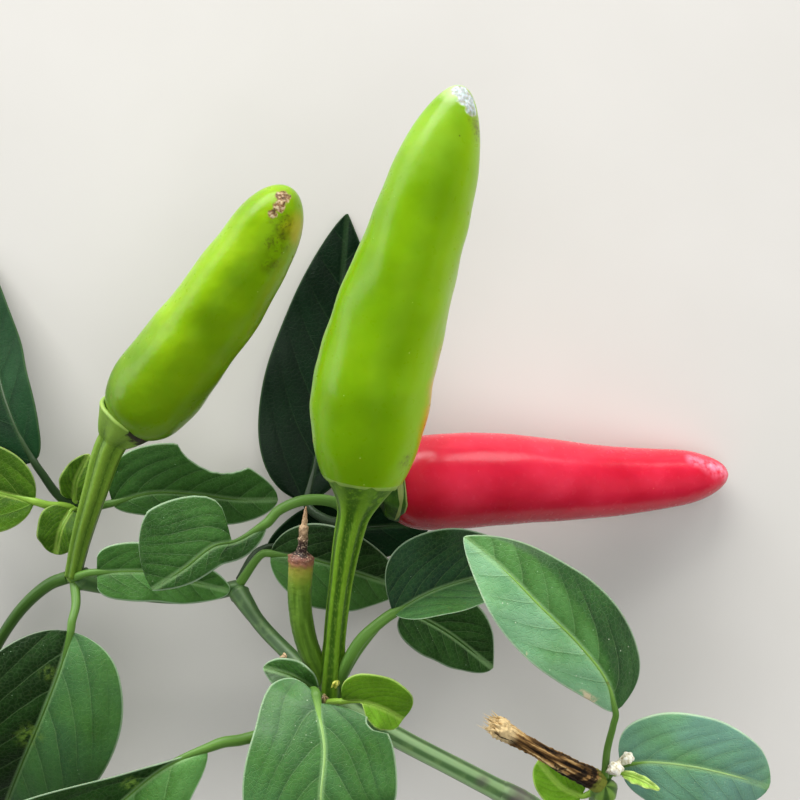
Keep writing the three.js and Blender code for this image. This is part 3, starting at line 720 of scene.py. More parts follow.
class Builder:
    """Adds nodes to a geometry tree and links them."""

    def __init__(self, tree):
        self.tree = tree

    def node(self, kind, inputs=(), output=0, **settings):
        made = self.tree.nodes.new(kind)
        for setting, value in settings.items():
            setattr(made, setting, value)
        for socket, value in dict(inputs).items():
            if isinstance(value, bpy.types.NodeSocket):
                self.tree.links.new(value, made.inputs[socket])
            else:
                made.inputs[socket].default_value = value
        return made.outputs[output]

    def maths(self, operation, *values):
        return self.node("ShaderNodeMath", enumerate(values), operation=operation)

    def store(self, geometry, name, value):
        inputs = {"Geometry": geometry, "Name": name, "Value": value}
        return self.node("GeometryNodeStoreNamedAttribute", inputs, data_type="FLOAT", domain="POINT")


def stem_tree():
    """Sweeps a ridged ring along a path whose corners carry the attribute thickness."""
    tree = bpy.data.node_groups.new("ridged stem along a path", "GeometryNodeTree")
    tree.interface.new_socket(name="Geometry", in_out="INPUT", socket_type="NodeSocketGeometry")
    sockets = {
        "Sides": socket_in(tree, "Sides", "NodeSocketInt", 32),
        "Ridges": socket_in(tree, "Ridges", "NodeSocketInt", 5),
        "Ridge Height": socket_in(tree, "Ridge Height", "NodeSocketFloat", 0.06),
        "Channel Depth": socket_in(tree, "Channel Depth", "NodeSocketFloat", 0.0),
        "Material": socket_in(tree, "Material", "NodeSocketMaterial"),
    }
    tree.interface.new_socket(name="Geometry", in_out="OUTPUT", socket_type="NodeSocketGeometry")
    b = Builder(tree)
    given = tree.nodes.new("NodeGroupInput").outputs
    path = b.node("GeometryNodeMeshToCurve", {"Mesh": given["Geometry"]})
    path = b.node("GeometryNodeSetCurveNormal", {"Curve": path}, mode="Z_UP")
    length = b.node("GeometryNodeSplineParameter", output="Length")
    path = b.store(path, "along", b.maths("DIVIDE", length, MM))
    thickness = b.node("GeometryNodeInputNamedAttribute", {"Name": "thickness"}, data_type="FLOAT")
    circle = {"Resolution": given["Sides"], "Radius": 1.0}
    ring = b.node("GeometryNodeCurvePrimitiveCircle", circle, mode="RADIUS")
    place = b.node("GeometryNodeInputPosition")
    parts = b.node("ShaderNodeSeparateXYZ", {0: place}).node.outputs
    angle = b.maths("ARCTAN2", parts["X"], parts["Y"])
    wave = b.maths("COSINE", b.maths("MULTIPLY", angle, given["Ridges"]))
    ring = b.store(ring, "ridge", wave)
    ring = b.store(ring, "around", b.maths("DIVIDE", angle, 2 * math.pi))
    raised = b.maths("MULTIPLY", wave, given["Ridge Height"])
    near_top = b.maths("POWER", b.maths("MAXIMUM", b.maths("COSINE", angle), 0.0), 6.0)
    sunk = b.maths("MULTIPLY", near_top, given["Channel Depth"])
    scale = b.maths("ADD", 1.0, b.maths("SUBTRACT", raised, sunk))
    moved = b.node("ShaderNodeVectorMath", {0: place, "Scale": scale}, operation="SCALE")
    ring = b.node("GeometryNodeSetPosition", {"Geometry": ring, "Position": moved})
    swept = {"Curve": path, "Profile Curve": ring, "Scale": thickness, "Fill Caps": True}
    mesh = b.node("GeometryNodeCurveToMesh", swept)
    mesh = b.node("GeometryNodeSetShadeSmooth", {"Geometry": mesh})
    mesh = b.node("GeometryNodeRealizeInstances", {"Geometry": mesh})
    mesh = b.node("GeometryNodeSetMaterial", {"Geometry": mesh, "Material": given["Material"]})
    tree.links.new(mesh, tree.nodes.new("NodeGroupOutput").inputs[0])
    return tree, sockets


STEM_TREE, STEM_SOCKETS = stem_tree()


def grown(path_object, tree, sockets, **values):
    """The plain mesh that a tree makes from an object, whose modifier is then removed."""
    modifier = path_object.modifiers.new("grown", "NODES")
    modifier.node_group = tree
    for name, value in values.items():
        modifier[sockets[name.replace("_", " ")]] = value
    evaluated = path_object.evaluated_get(bpy.context.evaluated_depsgraph_get())
    mesh = bpy.data.meshes.new_from_object(evaluated)
    path_object.modifiers.remove(modifier)
    return mesh


def swept(name, line, shares, radii, **values):
    """A stem's mesh along the given shares of a line, with a radius for each."""
    places = (line.at(shares) + SHIFT) * MM
    path = bpy.data.meshes.new(name + "_path")
    path.from_pydata(places.tolist(), [(i, i + 1) for i in range(len(places) - 1)], [])
    thickness = path.attributes.new("thickness", "FLOAT", "POINT")
    thickness.data.foreach_set("value", (np.asarray(radii) * MM).astype(np.float32))
    path_object = bpy.data.objects.new(name + "_path", path)
    bpy.context.scene.collection.objects.link(path_object)
    mesh = grown(path_object, STEM_TREE, STEM_SOCKETS, **values)
    bpy.data.objects.remove(path_object)
    mesh.name = name
    return mesh


# %% The stems' measures
STEMS = {
    "main_stem": {
        "points": [(41, -114, 2.6), (38, -98, 11), (34, -84, 21.5), (21, -70.6, 32), (16.5, -67.7, 33.4)],
        "radii": [2.6, 2.5, 2.35, 2.25, 2.3, 2.2, 2.15, 2.3, 1.8],
    },
    "middle_stem": {
        "points": [(21, -70.6, 32), (10.5, -64.4, 34.5), (0.1, -58.6, 36), (-11.9, -51.8, 36)],
        "radii": [2.2, 1.85, 1.8, 1.75, 1.75, 1.8, 2, 2.8],
    },
    "right_stem": {
        "points": [(34, -84, 21.5), (34.5, -73, 31.5), (34.2, -64.2, 43.6)],
        "radii": [2, 1.8, 1.8, 1.8, 1.9, 2.3],
    },
    "upper_stem": {
        "points": [(-12, -52, 35), (-11.4, -42.8, 29), (-10.3, -33.6, 24.5), (-8.8, -23.5, 21)],
        "radii": [1.7, 1.5, 1.45, 1.45, 1.5, 2.2],
    },
    "back_stem": {
        "points": [(-12, -52, 35), (-17.9, -47, 30), (-25.4, -41, 24), (-30.7, -35, 19)],
        "radii": [1.5, 1.4, 1.35, 1.35, 2],
    },
    "left_stem": {
        "points": [(-30.7, -35, 19), (-39.5, -37, 17), (-50.5, -36, 18), (-60.1, -32.5, 22)],
        "radii": [1.4, 1.3, 1.3, 1.35, 1.5, 2.3],
    },
    "left_shoot": {
        "points": [(-60.1, -32.5, 22), (-60.4, -26.2, 18.5), (-60, -20.4, 16)],
        "radii": [1.3, 1.2, 1.2, 1.7],
    },
}
RINGS_PER_MM = 2.5
FEWEST_RINGS = 8
ROUNDING_RINGS = 9  # round the far end of a stem
SMALLEST_RADIUS = 0.03


def limb(name, points, radii, cut=False, **values):
    """A stem with radii spread evenly along it. Its far end is rounded, and its start unless it is cut."""
    line = Line(points)
    if not cut:
        behind = np.array(points[0]) - line.directions(np.zeros(1))[0][0] * radii[0]
        line = Line([behind, *points])
    first = 0 if cut else radii[0] / line.length
    last = radii[-1] / line.length
    body = np.linspace(first, 1 - last, max(FEWEST_RINGS, int(line.length * RINGS_PER_MM)))
    turns = np.linspace(0, np.pi / 2, ROUNDING_RINGS)
    shares = np.append(body, 1 - last + last * np.sin(turns[1:]))
    sizes = np.append(spread(radii, (body - first) / (1 - first)), radii[-1] * np.cos(turns[1:]))
    if not cut:
        shares = np.append(first - first * np.cos(turns[:-1]), shares)
        sizes = np.append(radii[0] * np.sin(turns[:-1]), sizes)
    return swept(name, line, shares, np.maximum(sizes, SMALLEST_RADIUS), **values)


# %% Stem skin


def stem_skin(name, groove, crest, blush=(), blush_colour=ink(92, 62, 84)):
    skin = Finish(name, Coat_Weight=0.08, Coat_Roughness=0.4, Subsurface_Weight=0.05,
                  Subsurface_Scale=0.001)
    streaks = skin.noise(1.0, 4.0, skin.drawn_out(along=0.12, around=14.0))
    height = skin.maths("ADD", skin.reading("ridge"), skin.maths("MULTIPLY", streaks, 0.8))
    ridge = skin.step(height, -0.5, 1.1)
    colour = skin.mix(ridge, groove, crest)
    blotch = skin.noise(2.4, 3.0)
    colour = skin.lay(skin.step(blotch, 0.5, 0.75), 0.3, colour, ink(128, 160, 92))
    for place, radius in blush:
        colour = skin.lay(skin.glow(place, radius), 0.75, colour, blush_colour)
    roughness = skin.maths("ADD", skin.maths("MULTIPLY", blotch, 0.2), 0.38)
    fine = skin.bump(streaks, 0.06)
    return skin.finish(colour, roughness, skin.bump(skin.noise(0.3, 2.0), 0.02, fine))


pale_stem = stem_skin("skin_stem_pale", ink(70, 104, 56), ink(136, 168, 116),
                      [((14.8, -65.6, 36.4), 2.4), ((20.4, -70, 33), 5)])
green_stem = stem_skin("skin_stem_green", ink(58, 92, 26), ink(112, 148, 52))
fork_stem = stem_skin("skin_stem_fork", ink(60, 94, 32), ink(112, 148, 58),
                      [((34, -84, 21.5), 12)], ink(100, 134, 84))
shaded_stem = stem_skin("skin_stem_shaded", ink(54, 86, 42), ink(74, 106, 56))
STEM_SKINS = {
    "main_stem": pale_stem,
    "middle_stem": pale_stem,
    "right_stem": fork_stem,
    "upper_stem": green_stem,
    "back_stem": shaded_stem,
    "left_stem": shaded_stem,
    "left_shoot": green_stem,
}
for name, stem in STEMS.items():
    mesh = limb(name, stem["points"], stem["radii"], name == "main_stem",
                Material=STEM_SKINS[name], Ridges=5, Ridge_Height=0.05)
    piece = piece_from(mesh)
    hand_in(piece, name)
    print(name, "has", len(piece.data.polygons), "faces")

# %% [markdown]
# ## The cut
# The sprig was cut off below its fork. A fresh cut shows damp pale pith, a ring of greenish wood with
# fine rays, and the dark line of the rind. A flat disc with a round pattern would look stuck on, so the
# face is a thin turned piece that sits in the stem's end and sinks a little in the middle, and its skin
# reads how far out each place is.

# %% The cut face
CUT_RINGS = [(0.0, 2.2), (0.8, 2.5), (0.96, 2.52), (1.0, 2.42), (1.0, 1.7), (0.98, 0.9), (0.96, 0.3)]
CUT_THICKNESS = 0.4  # millimetres of it, most of which is inside the stem
CUT_PROUD = 0.04  # millimetres that stand out of it
CUT_SIDES = 64


def cut_skin():
    """Damp pale pith inside a ring of greenish wood, with rays, and a dark line under the rind."""
    skin = Finish("skin_cut", Coat_Weight=0.15, Coat_Roughness=0.4)
    rays = skin.noise(1.0, 3.0, skin.drawn_out(turn=9.0, across=0.6))
    stray = skin.maths("MULTIPLY", skin.maths("SUBTRACT", rays, 0.5), 0.16)
    colour = skin.ramp(skin.maths("ADD", skin.reading("across"), stray), [
        (0.0, ink(206, 212, 172)), (0.42, ink(190, 202, 146)), (0.5, ink(150, 172, 100)),
        (0.8, ink(176, 190, 124)), (0.9, ink(84, 116, 50)), (1.0, ink(66, 96, 44))])
    drying = skin.step(skin.noise(0.9, 3.0), 0.5, 0.7)
    colour = skin.lay(drying, 0.4, colour, ink(156, 130, 84))
    return skin.finish(colour, None, skin.bump(rays, 0.05))


main = STEMS["main_stem"]["points"]
onwards = Line(main).directions(np.zeros(1))[0][0]
cut_line = Line([main[0] + onwards * (CUT_THICKNESS - CUT_PROUD), main[0] - onwards * CUT_PROUD])
cut_angles = np.linspace(-np.pi, np.pi, CUT_SIDES, endpoint=False)
cut_shares, cut_radii = np.transpose(CUT_RINGS)
cut_radii = cut_radii[:, None] * np.ones(CUT_SIDES)
turn = np.sin(cut_angles) * np.ones((len(cut_shares), 1))
face = closed_rings("cut_face", cut_line, cut_shares, cut_radii, cut_angles,
                    {"across": cut_radii / cut_radii.max(), "turn": turn})
cut_piece = piece_from(face, cut_skin())
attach(cut_piece, "root")
pieces.append(cut_piece)
print("the cut face has", len(face.polygons), "faces")

# %% [markdown]
# ## Leaves
# A chilli leaf is a thin blade with a pale midrib, folded a little about it. Side veins leave the midrib
# at an even pace and bend towards the tip, and the blade swells up between them like a quilt. The margin
# is a thin pale line. A cloth simulation could fold a flat outline, but the photo shows each fold, so the
# blade is drawn straight into its place: a grid whose length follows the midrib and whose two halves each
# rise by a fold and bend on by a curl.

# %% The leaves' measures
# A pair of numbers is for a blade's left and right halves. A tone runs from 0, darkest, to 1, palest. It
# holds the leaf's own green and also the light and shade painted on each half. Skin names the skin of
# another kind of leaf, where a leaf is younger than its own kind or lies in painted shade. The bluish sheen
# on a half is a painted reflection of the sky, and past a crease a half is darker by a painted shade.
LEAVES = {
    "leaf_front": {
        "stalk": [(-13.2, -51.6, 37.5), (-14.6, -49.2, 41.5)],
        "rib": [(-13.8, -48.5, 45.8), (-13.1, -51.5, 48.2), (-12.2, -56.2, 50), (-12.7, -63.9, 51.5),
                (-12.7, -72, 50), (-12.6, -80, 46)],
        "half": (12.2, 12.9), "belly": (0.4, 0.48), "point": 0.7, "starts": (0.05, 0),
        "fold": (2, 4), "curl": (-22, -24), "heart": (-0.3, 1.72), "thick": 1,
        "bite": {"at": (-3.6, -52), "radius": 1.8}, "bloom": 0.1, "tone": (0.38, 0.4), "rib_tone": 0.85,
        "quilt": 0.03,
    },
    "leaf_front_small": {
        "stalk": [(-12.9, -51.5, 37)],
        "rib": [(-14.2, -49.8, 38), (-18.4, -46.8, 39.5), (-23.3, -45.6, 38.5)],
        "half": (3, 2.7), "belly": (0.45, 0.5), "point": (0.85, 0.7), "fold": (30, 10), "thick": 0.45,
        "tone": (0.24, 0.34), "rib_tone": 0.2,
    },
    "leaf_front_bright": {
        "finish": "leaf_young",
        "stalk": [(-12.8, -52, 38), (-11.4, -50.9, 41)],
        "rib": [(-9.7, -50.5, 42.4), (-5.8, -50.4, 43.5), (-2.5, -51.5, 43.4), (0.5, -53.5, 42)],
        "half": (5.8, 3.2), "belly": 0.5, "point": 0.45, "starts": (0, 0.35), "fold": (22, 18),
        "thick": 0.7, "tone": (0.28, 0.5), "rib_tone": 0.5,
    },
    "leaf_low_left": {
        "stalk": [(-12.2, -53, 36), (-20.4, -55.8, 39), (-26.5, -57.2, 41)],
        "rib": [(-30.6, -57.6, 42.4), (-38.6, -60.8, 44), (-45.7, -66.3, 44), (-57, -77.5, 42),
                (-69, -90, 36)],
        "half": (10, 18.6), "belly": (0.42, 0.68), "point": (0.85, 0.95), "starts": (0.035, 0.08),
        "fold": (10, 36), "curl": (-20, -6), "thick": 1.15, "tone": (0.58, 0.1),
    },
    "leaf_middle_right": {
        "stalk": [(-11, -49.8, 37), (-9.2, -45.1, 39), (-6.6, -40.6, 40), (-3, -37.4, 39.8)],
        "rib": [(-1.2, -36.2, 39.4), (5.2, -33, 37.4), (13.1, -31, 33.8), (21, -30.2, 29)],
        "half": (11.6, 8), "belly": (0.32, 0.4), "fold": (22, 64), "curl": (10, 0), "thick": 1.15,
        "bloom": (0.1, 0.1), "tone": (0.1, 0.4),
        "rib_tone": 0.26,
    },
    "leaf_under_right": {
        "stalk": [(-11.4, -50.6, 34), (-7, -43.9, 29.6), (-1.4, -38.4, 25.6)],
        "rib": [(0.6, -37.8, 25), (8.7, -42.6, 23), (17.2, -49.7, 20)],
        "half": (7.4, 5.6), "belly": (0.45, 0.35), "point": (1, 0.6), "fold": 8, "tone": 0.14,
        "rib_tone": 0.0,
    },
    "leaf_under_middle": {
        "stalk": [(-29.8, -34.1, 19), (-25.6, -28.6, 20.2)],
        "rib": [(-24, -28.4, 20.4), (-16.5, -29.5, 20.4), (-7.7, -32.4, 18.6), (0.8, -35.8, 15)],
        "half": (7, 8.2), "belly": 0.4, "fold": (4, 12), "tone": (0.08, 0.46),
    },
    "leaf_shade": {
        "finish": "leaf_shaded",
        "stalk": [(-29.9, -33.7, 18), (-27.6, -29.4, 14.6)],
        "rib": [(-25.4, -28.2, 12.6), (-17, -26.6, 9.6), (-7, -25, 7.6), (6, -24.4, 6)],
        "half": 6.8, "belly": 0.5, "point": 0.7, "fold": 6, "tone": 0.4,
    },
    "leaf_folded": {
        "stalk": [(-9.4, -23.2, 21.6), (-11.2, -18.8, 26), (-17, -17.8, 30), (-21.4, -19.5, 31.2)],
        "rib": [(-23.6, -21.8, 31.8), (-28.6, -24.6, 33.4), (-32.4, -25.4, 34.4), (-37.4, -29.2, 34.4),
                (-43.6, -33.4, 31.6)],
        "half": (3.4, 11.6), "belly": (0.42, 0.46), "point": (0.9, 0.55), "starts": (0, 0.28),
        "fold": (4, 2), "curl": (-6, -8), "thick": 1.1, "tone": (0.24, 0.32), "ripple": 0.15,
    },
    "leaf_tall": {
        "finish": "leaf_shaded",
        "stalk": [(-9.3, -23, 20), (-14.1, -22.4, 16.6)],
        "rib": [(-17.9, -19.4, 13.4), (-15.6, -7.8, 8.4), (-12.4, 13.9, 3.2), (-10.6, 37.4, 0.56)],
        "half": (13, 9.6), "belly": (0.36, 0.42), "point": (0.85, 1), "fold": (-2, 4), "curl": (-4, -6),
        "thick": 1, "tone": 0.24, "quilt": 0.05,
    },
    "leaf_back_left": {
        "stalk": [(-59.6, -20.4, 16), (-57, -20, 16.8)],
        "rib": [(-54.1, -19.4, 17), (-47, -17.5, 17), (-39.6, -17.7, 16), (-30.5, -19, 14),
                (-23.5, -19.2, 11.4)],
        "half": (9.4, 5.4), "belly": (0.38, 0.5), "point": 0.6, "fold": (10, -4),
        "bite": {"at": (-33, -4.4), "radius": 9.4}, "tone": (0.36, 0.4),
    },
    "leaf_left_round": {
        "stalk": [(-60, -32.6, 22.6), (-56.6, -31.4, 25)],
        "rib": [(-55, -31.2, 25.2), (-45.4, -31.2, 25), (-38.4, -33.2, 23), (-31.6, -35.4, 20)],
        "half": (5.4, 5.2), "belly": 0.3, "point": 0.6, "fold": (14, 10), "thick": 0.8,
        "tone": (0.42, 0.46),
    },
    "leaf_left_hanging": {
        "stalk": [(-59.8, -33.6, 22), (-58.8, -37.2, 25), (-59, -39.9, 27)],
        "rib": [(-59.1, -41.5, 27.4), (-60.6, -47.6, 28.4), (-64.4, -57.4, 28), (-69.4, -68, 25),
                (-76, -82, 18)],
        "half": 14.2, "fold": (8, 24), "curl": (-20, -8), "bloom": (0.12, 0.0), "tone": (0.44, 0.02),
    },
    "leaf_left_low": {
        "stalk": [(-61.3, -32.7, 21), (-64.9, -34.1, 20), (-70.2, -38.4, 18), (-75.8, -45.5, 15),
                  (-79.5, -52.2, 12.4)],
        "rib": [(-80.6, -54.6, 11.4), (-84, -64, 8.6), (-89, -76, 6), (-93, -86, 4)],
        "half": 9, "fold": 8, "thick": 1.2, "tone": 0.3, "stalk_tone": 0.1,
    },
    "leaf_left_edge": {
        "stalk": [(-60.5, -19.7, 17), (-63.4, -18.3, 18), (-66.6, -13.6, 19.4)],
        "rib": [(-68, -11.4, 19.6), (-71, -6.4, 19), (-74.4, 0, 16.4), (-78.8, 10, 10), (-85.8, 32, 0.52)],
        "half": (8.6, 5.8), "fold": 12, "curl": -10, "skin": "leaf_shaded", "tone": (0.6, 0.75),
        "pale_below": 0.1,
    },
    "leaf_left_bright": {
        "finish": "leaf_young",
        "stalk": [(-60.9, -19.9, 17), (-65.2, -19.6, 19.4)],
        "rib": [(-67.6, -18.8, 20.4), (-76, -16.7, 20.6), (-86.8, -14.7, 16), (-97, -14, 9)],
        "half": (8.4, 8.6), "belly": 0.36, "fold": (14, 4), "tone": (0.08, 0.0), "pale_below": 0.1,
        "rib_tone": 0.2,
    },
    "leaf_shoot_upright": {
        "stalk": [(-60.1, -20.1, 17)],
        "rib": [(-61, -18.6, 18), (-60, -14.8, 20), (-57.4, -10, 21)],
        "half": (2.8, 2.6), "point": 0.7, "fold": 16, "thick": 0.5, "skin": "leaf_young",
        "tone": 0.04, "rib_tone": 0.0,
    },
    "leaf_shoot_round": {
        "stalk": [(-60.3, -20.3, 17)],
        "rib": [(-61.3, -20.6, 19), (-62.6, -23.8, 21), (-63.8, -28.6, 20)],
        "half": (4, 4.2), "point": 0.6, "fold": 16, "thick": 0.42, "skin": "leaf_young",
        "tone": 0.0, "rib_tone": 0.0,
    },
    "leaf_right_upper": {
        "stalk": [(34.2, -62.8, 43), (33.9, -57.3, 47), (34.4, -52.4, 50)],
        "rib": [(34.6, -50, 51), (32.8, -44.6, 53), (28.5, -38.9, 54.2), (22, -32.4, 55), (16.6, -27, 54),
                (10.3, -22, 51)],
        "half": (7.2, 9.3), "belly": (0.5, 0.38), "fold": (6, 0), "curl": (-6, -30),
        "crease": (0, 0.95), "heart": (0.35, 0), "thick": 0.66, "bloom": (0.4, 0.04), "tone": (0.86, 0.56),
        "rib_tone": 0.72, "painted_shade": 0.34, "quilt": 0.02,
    },
    "leaf_right_side": {
        "stalk": [(34.9, -63.4, 41.5)],
        "rib": [(36.6, -60.8, 43.6), (41.3, -59.9, 45), (47.9, -60.5, 45.2), (56.4, -62.8, 43.6),
                (62.3, -65.4, 40.4)],
        "half": 8.4, "belly": 0.4, "point": 0.6, "fold": 4, "curl": -14, "thick": 0.62,
        "bloom": 0.85, "tone": (0.7, 0.66), "rib_tone": 0.9, "quilt": 0.018,
    },
    "leaf_right_cup": {
        "finish": "leaf_young",
        "stalk": [(33.5, -66.4, 38.6)],
        "rib": [(31, -67.6, 38.4), (27.4, -65.8, 38.6), (23.6, -61.6, 38)],
        "half": (3.6, 4), "belly": 0.45, "point": 0.5, "fold": 20, "thick": 0.6, "tone": 0.4,
    },
    "leaf_right_sprout": {
        "finish": "leaf_young",
        "stalk": [(35.4, -61.8, 45)],
        "rib": [(36.4, -61.2, 46.6), (39, -61.8, 48), (42.2, -63.4, 48.2)],
        "half": (0.7, 0.8), "thick": 0.45, "tone": 1.0,
    },
}
BELLY = 0.38  # where a blade is widest, as a share of its length, unless the leaf says so
POINT = 0.85
FOLD = 12
RIPPLE = 0.4
WAVES = 3
WAVE_SHIFT = 1.7
HEART_FADE = 5
MARGIN_WIDTH = 0.2
BLADE_THICKNESS = 0.42
GRAIN = 0.5  # millimetres between the corners of a blade
STEPS_ALONG = (24, 110)  # the fewest and the most of them along it
STEPS_ACROSS = (6, 26)  # and across one half
CURL_STEPS = 14  # in adding up how far a curled half reaches
CREASE_WIDTH = 0.22  # share of a half's width over which a crease turns
FLOOR_LEVEL = -SHIFT[2]
FLOOR_GAP = 0.3  # millimetres from the floor to the middle of a blade that would sink into it
CHANNEL_DEPTH = 0.25  # of the trough along the midrib
CHANNEL_WIDTH = 0.7
MARGIN_THICKNESS = 0.45  # as a share of the blade's thickness
THINNING = 0.5  # millimetres in from the margin that would add one whole thickness

# %% [markdown]
# ## Veins
# The veins are worked out once, as a number that rises by one from each side vein to the next. The mesh
# swells by it and the skin draws its pale lines by it, so that relief and colour always agree.

# %% The side veins
VEIN_PACE = 0.15  # from one side vein to the next, as a share of the blade's length
VEIN_LEAN = 0.85  # millimetres towards the tip for each millimetre out
VEIN_BEND = 1.1  # how much more it leans at the margin
VEIN_STAGGER = 0.45  # how far the veins of one half are ahead of the other's, in paces
QUILT = 0.03  # height of the swells, as a share of the distance between veins


def of_hand(measure, hand):
    """A measure is one number, or a pair for the blade's left and right halves."""
    return np.array(measure)[hand] if isinstance(measure, tuple) else np.full(hand.shape, float(measure))


def half_width(leaf, share, hand):
    belly = of_hand(leaf.get("belly", BELLY), hand)
    point = of_hand(leaf.get("point", POINT), hand)
    start = of_hand(leaf.get("starts", 0), hand)
    foot = point * belly / (1 - belly)
    along = np.clip((share - start) / (1 - start), 0, 1)
    widest = belly**foot * (1 - belly) ** point
    return of_hand(leaf["half"], hand) * along**foot * (1 - along) ** point / widest + MARGIN_WIDTH


class Blade:
    """The upper and lower faces of one leaf's blade as grids, with the numbers that its skin reads."""

    def __init__(self, leaf):
        self.leaf = leaf
        self.line = Line(leaf["rib"])
        length = self.line.length
        steps = int(np.clip(length / GRAIN, *STEPS_ALONG))
        even = np.linspace(0, 1, steps)
        shares = 0.5 * even + 0.5 * (0.5 - 0.5 * np.cos(np.pi * even))
        sides = int(np.clip(np.max(leaf["half"]) / GRAIN, *STEPS_ACROSS))
        across = np.linspace(-1, 1, 2 * sides + 1)
        self.share, self.across = np.meshgrid(shares, across, indexing="ij")
        self.hand = (self.across > 0).astype(int)
        self.width = half_width(leaf, self.share, self.hand)
        self.reach = np.abs(self.across) * self.width * self.kept()
        self.pace = VEIN_PACE * length
        lean = VEIN_LEAN * self.reach + VEIN_BEND * self.reach**2 / self.width.max()
        self.vein = (self.share * length - lean) / self.pace + VEIN_STAGGER * self.hand

    def creased(self, outward):
        """How far a place is past the crease, which leaves the midrib at the foot and nears the margin."""
        crease = of_hand(self.leaf.get("crease", 2), self.hand)
        past = np.clip((outward - crease * self.share) / CREASE_WIDTH + 0.5, 0, 1)
        return np.where(crease > 0, past * past * (3 - 2 * past), 0)

    def places(self, reach, level):
        """Places at a reach over the blade from its midrib, and a level above its middle."""
        leaf = self.leaf
        along, right, out = self.line.directions(self.share)
        start = np.radians(of_hand(leaf.get("fold", FOLD), self.hand))
        crease = of_hand(leaf.get("crease", 0), self.hand)
        curl = np.radians(of_hand(leaf.get("curl", 0), self.hand))
        sideways, upwards = np.zeros_like(reach), np.zeros_like(reach)
        for part in (np.arange(CURL_STEPS) + 0.5) / CURL_STEPS:
            outward = part * reach / self.width
            slope = start + curl * np.where(crease > 0, self.creased(outward), outward)
            sideways += np.cos(slope) * reach / CURL_STEPS
            upwards += np.sin(slope) * reach / CURL_STEPS
        wave = np.sin(2 * np.pi * WAVES * self.share + self.hand * WAVE_SHIFT) * np.sin(np.pi * self.share)
        ripple = leaf.get("ripple", RIPPLE) * (reach / self.width) ** 2 * wave
        swept_back = of_hand(leaf.get("heart", 0), self.hand) * reach * (1 - self.share) ** HEART_FADE
        places = self.line.at(self.share) + (np.sign(self.across) * sideways)[..., None] * right
        places = places + (upwards + ripple + level)[..., None] * out - swept_back[..., None] * along
        places[..., 2] = np.maximum(places[..., 2], FLOOR_LEVEL + FLOOR_GAP + level)
        return places

    def kept(self):
        """The share of each half that an insect has left, worked out on the blade's plan."""
        bite = self.leaf.get("bite")
        if not bite:
            return np.ones_like(self.share)
        kept = np.ones_like(self.share)
        for tried in np.linspace(1, 0, 50, endpoint=False):
            plan = self.places(tried * self.width, 0)[..., :2]
            inside = np.linalg.norm(plan - np.array(bite["at"]), axis=-1) < bite["radius"]
            kept = np.where(inside, np.minimum(kept, tried), kept)
        return kept

    def faces(self):
        """The blade's upper and lower faces, with its quilted swells."""
        swell = np.sin(np.pi * (self.vein % 1)) ** 0.7
        outward = self.reach / self.width
        window = np.clip(self.reach / 1.2, 0, 1) * np.clip((1 - outward) * 4, 0, 1)
        quilt = self.leaf.get("quilt", QUILT) * self.pace * (swell - 0.3) * window
        channel = CHANNEL_DEPTH * np.exp(-((self.reach / CHANNEL_WIDTH) ** 2))
        surface = quilt - channel * np.clip((1 - self.share) * 3, 0, 1)
        edge = self.width * self.kept() - self.reach
        thickness = BLADE_THICKNESS * np.clip(MARGIN_THICKNESS + edge / THINNING, 0, 1)
        upper = self.places(self.reach, surface + thickness / 2)
        lower = self.places(self.reach, surface - thickness / 2)
        return upper, lower, edge


def blade_mesh(name, leaf):
    blade = Blade(leaf)
    upper, lower, edge = blade.faces()
    rows, columns = upper.shape[:2]
    count = rows * columns
    faces = []
    for row in range(rows - 1):
        for column in range(columns - 1):
            a = row * columns + column
            b, c, d = a + 1, a + columns + 1, a + columns
            faces.append((a, b, c, d))
            faces.append((d + count, c + count, b + count, a + count))
    rim = [row * columns for row in range(rows)]
    rim += [(rows - 1) * columns + column for column in range(1, columns)]
    rim += [row * columns + columns - 1 for row in range(rows - 2, -1, -1)]
    rim += [column for column in range(columns - 2, 0, -1)]
    for a, b in zip(rim, rim[1:] + rim[:1]):
        faces.append((a, b, b + count, a + count))
    # Past a crease a half is darker, as painted shade.
    creased = blade.creased(blade.reach / blade.width)
    tone = of_hand(leaf.get("tone", 0.5), blade.hand) - leaf.get("painted_shade", 0) * creased
    readings = {
        "vein": blade.vein, "reach": blade.reach, "margin": edge, "tone": tone,
        "bloom": of_hand(leaf.get("bloom", 0.0), blade.hand),
        "outward": blade.reach / blade.width,
    }
    doubled = {key: np.append(values.ravel(), values.ravel()) for key, values in readings.items()}
    doubled["underside"] = np.append(np.zeros(count), np.full(count, leaf.get("pale_below", 1.0)))
    places = np.vstack([upper.reshape(-1, 3), lower.reshape(-1, 3)])
    return mesh_from(name, places, [face[::-1] for face in faces], doubled)


# %% [markdown]
# ## The leaves' skins
# A leaf is deep green, with a net of paler veins, a pale line at its margin and a paler underside. A
# bluish sheen is painted on it as a reflection of the sky. The panels between its side veins are painted
# a little lighter or darker, as painted light and shade, and shade is painted along the side veins. A
# picture of a leaf could be laid on every blade, but then all of them would match too well. Here one skin
# reads the numbers that each mesh carries, and only its greens and its gloss differ between full grown,
# young and shaded leaves. The shaded leaves' dark greens are painted shade. Pale flecks, scorched
# margins and the tunnels of leaf miners are placed one by one.

# %% Leaf skin


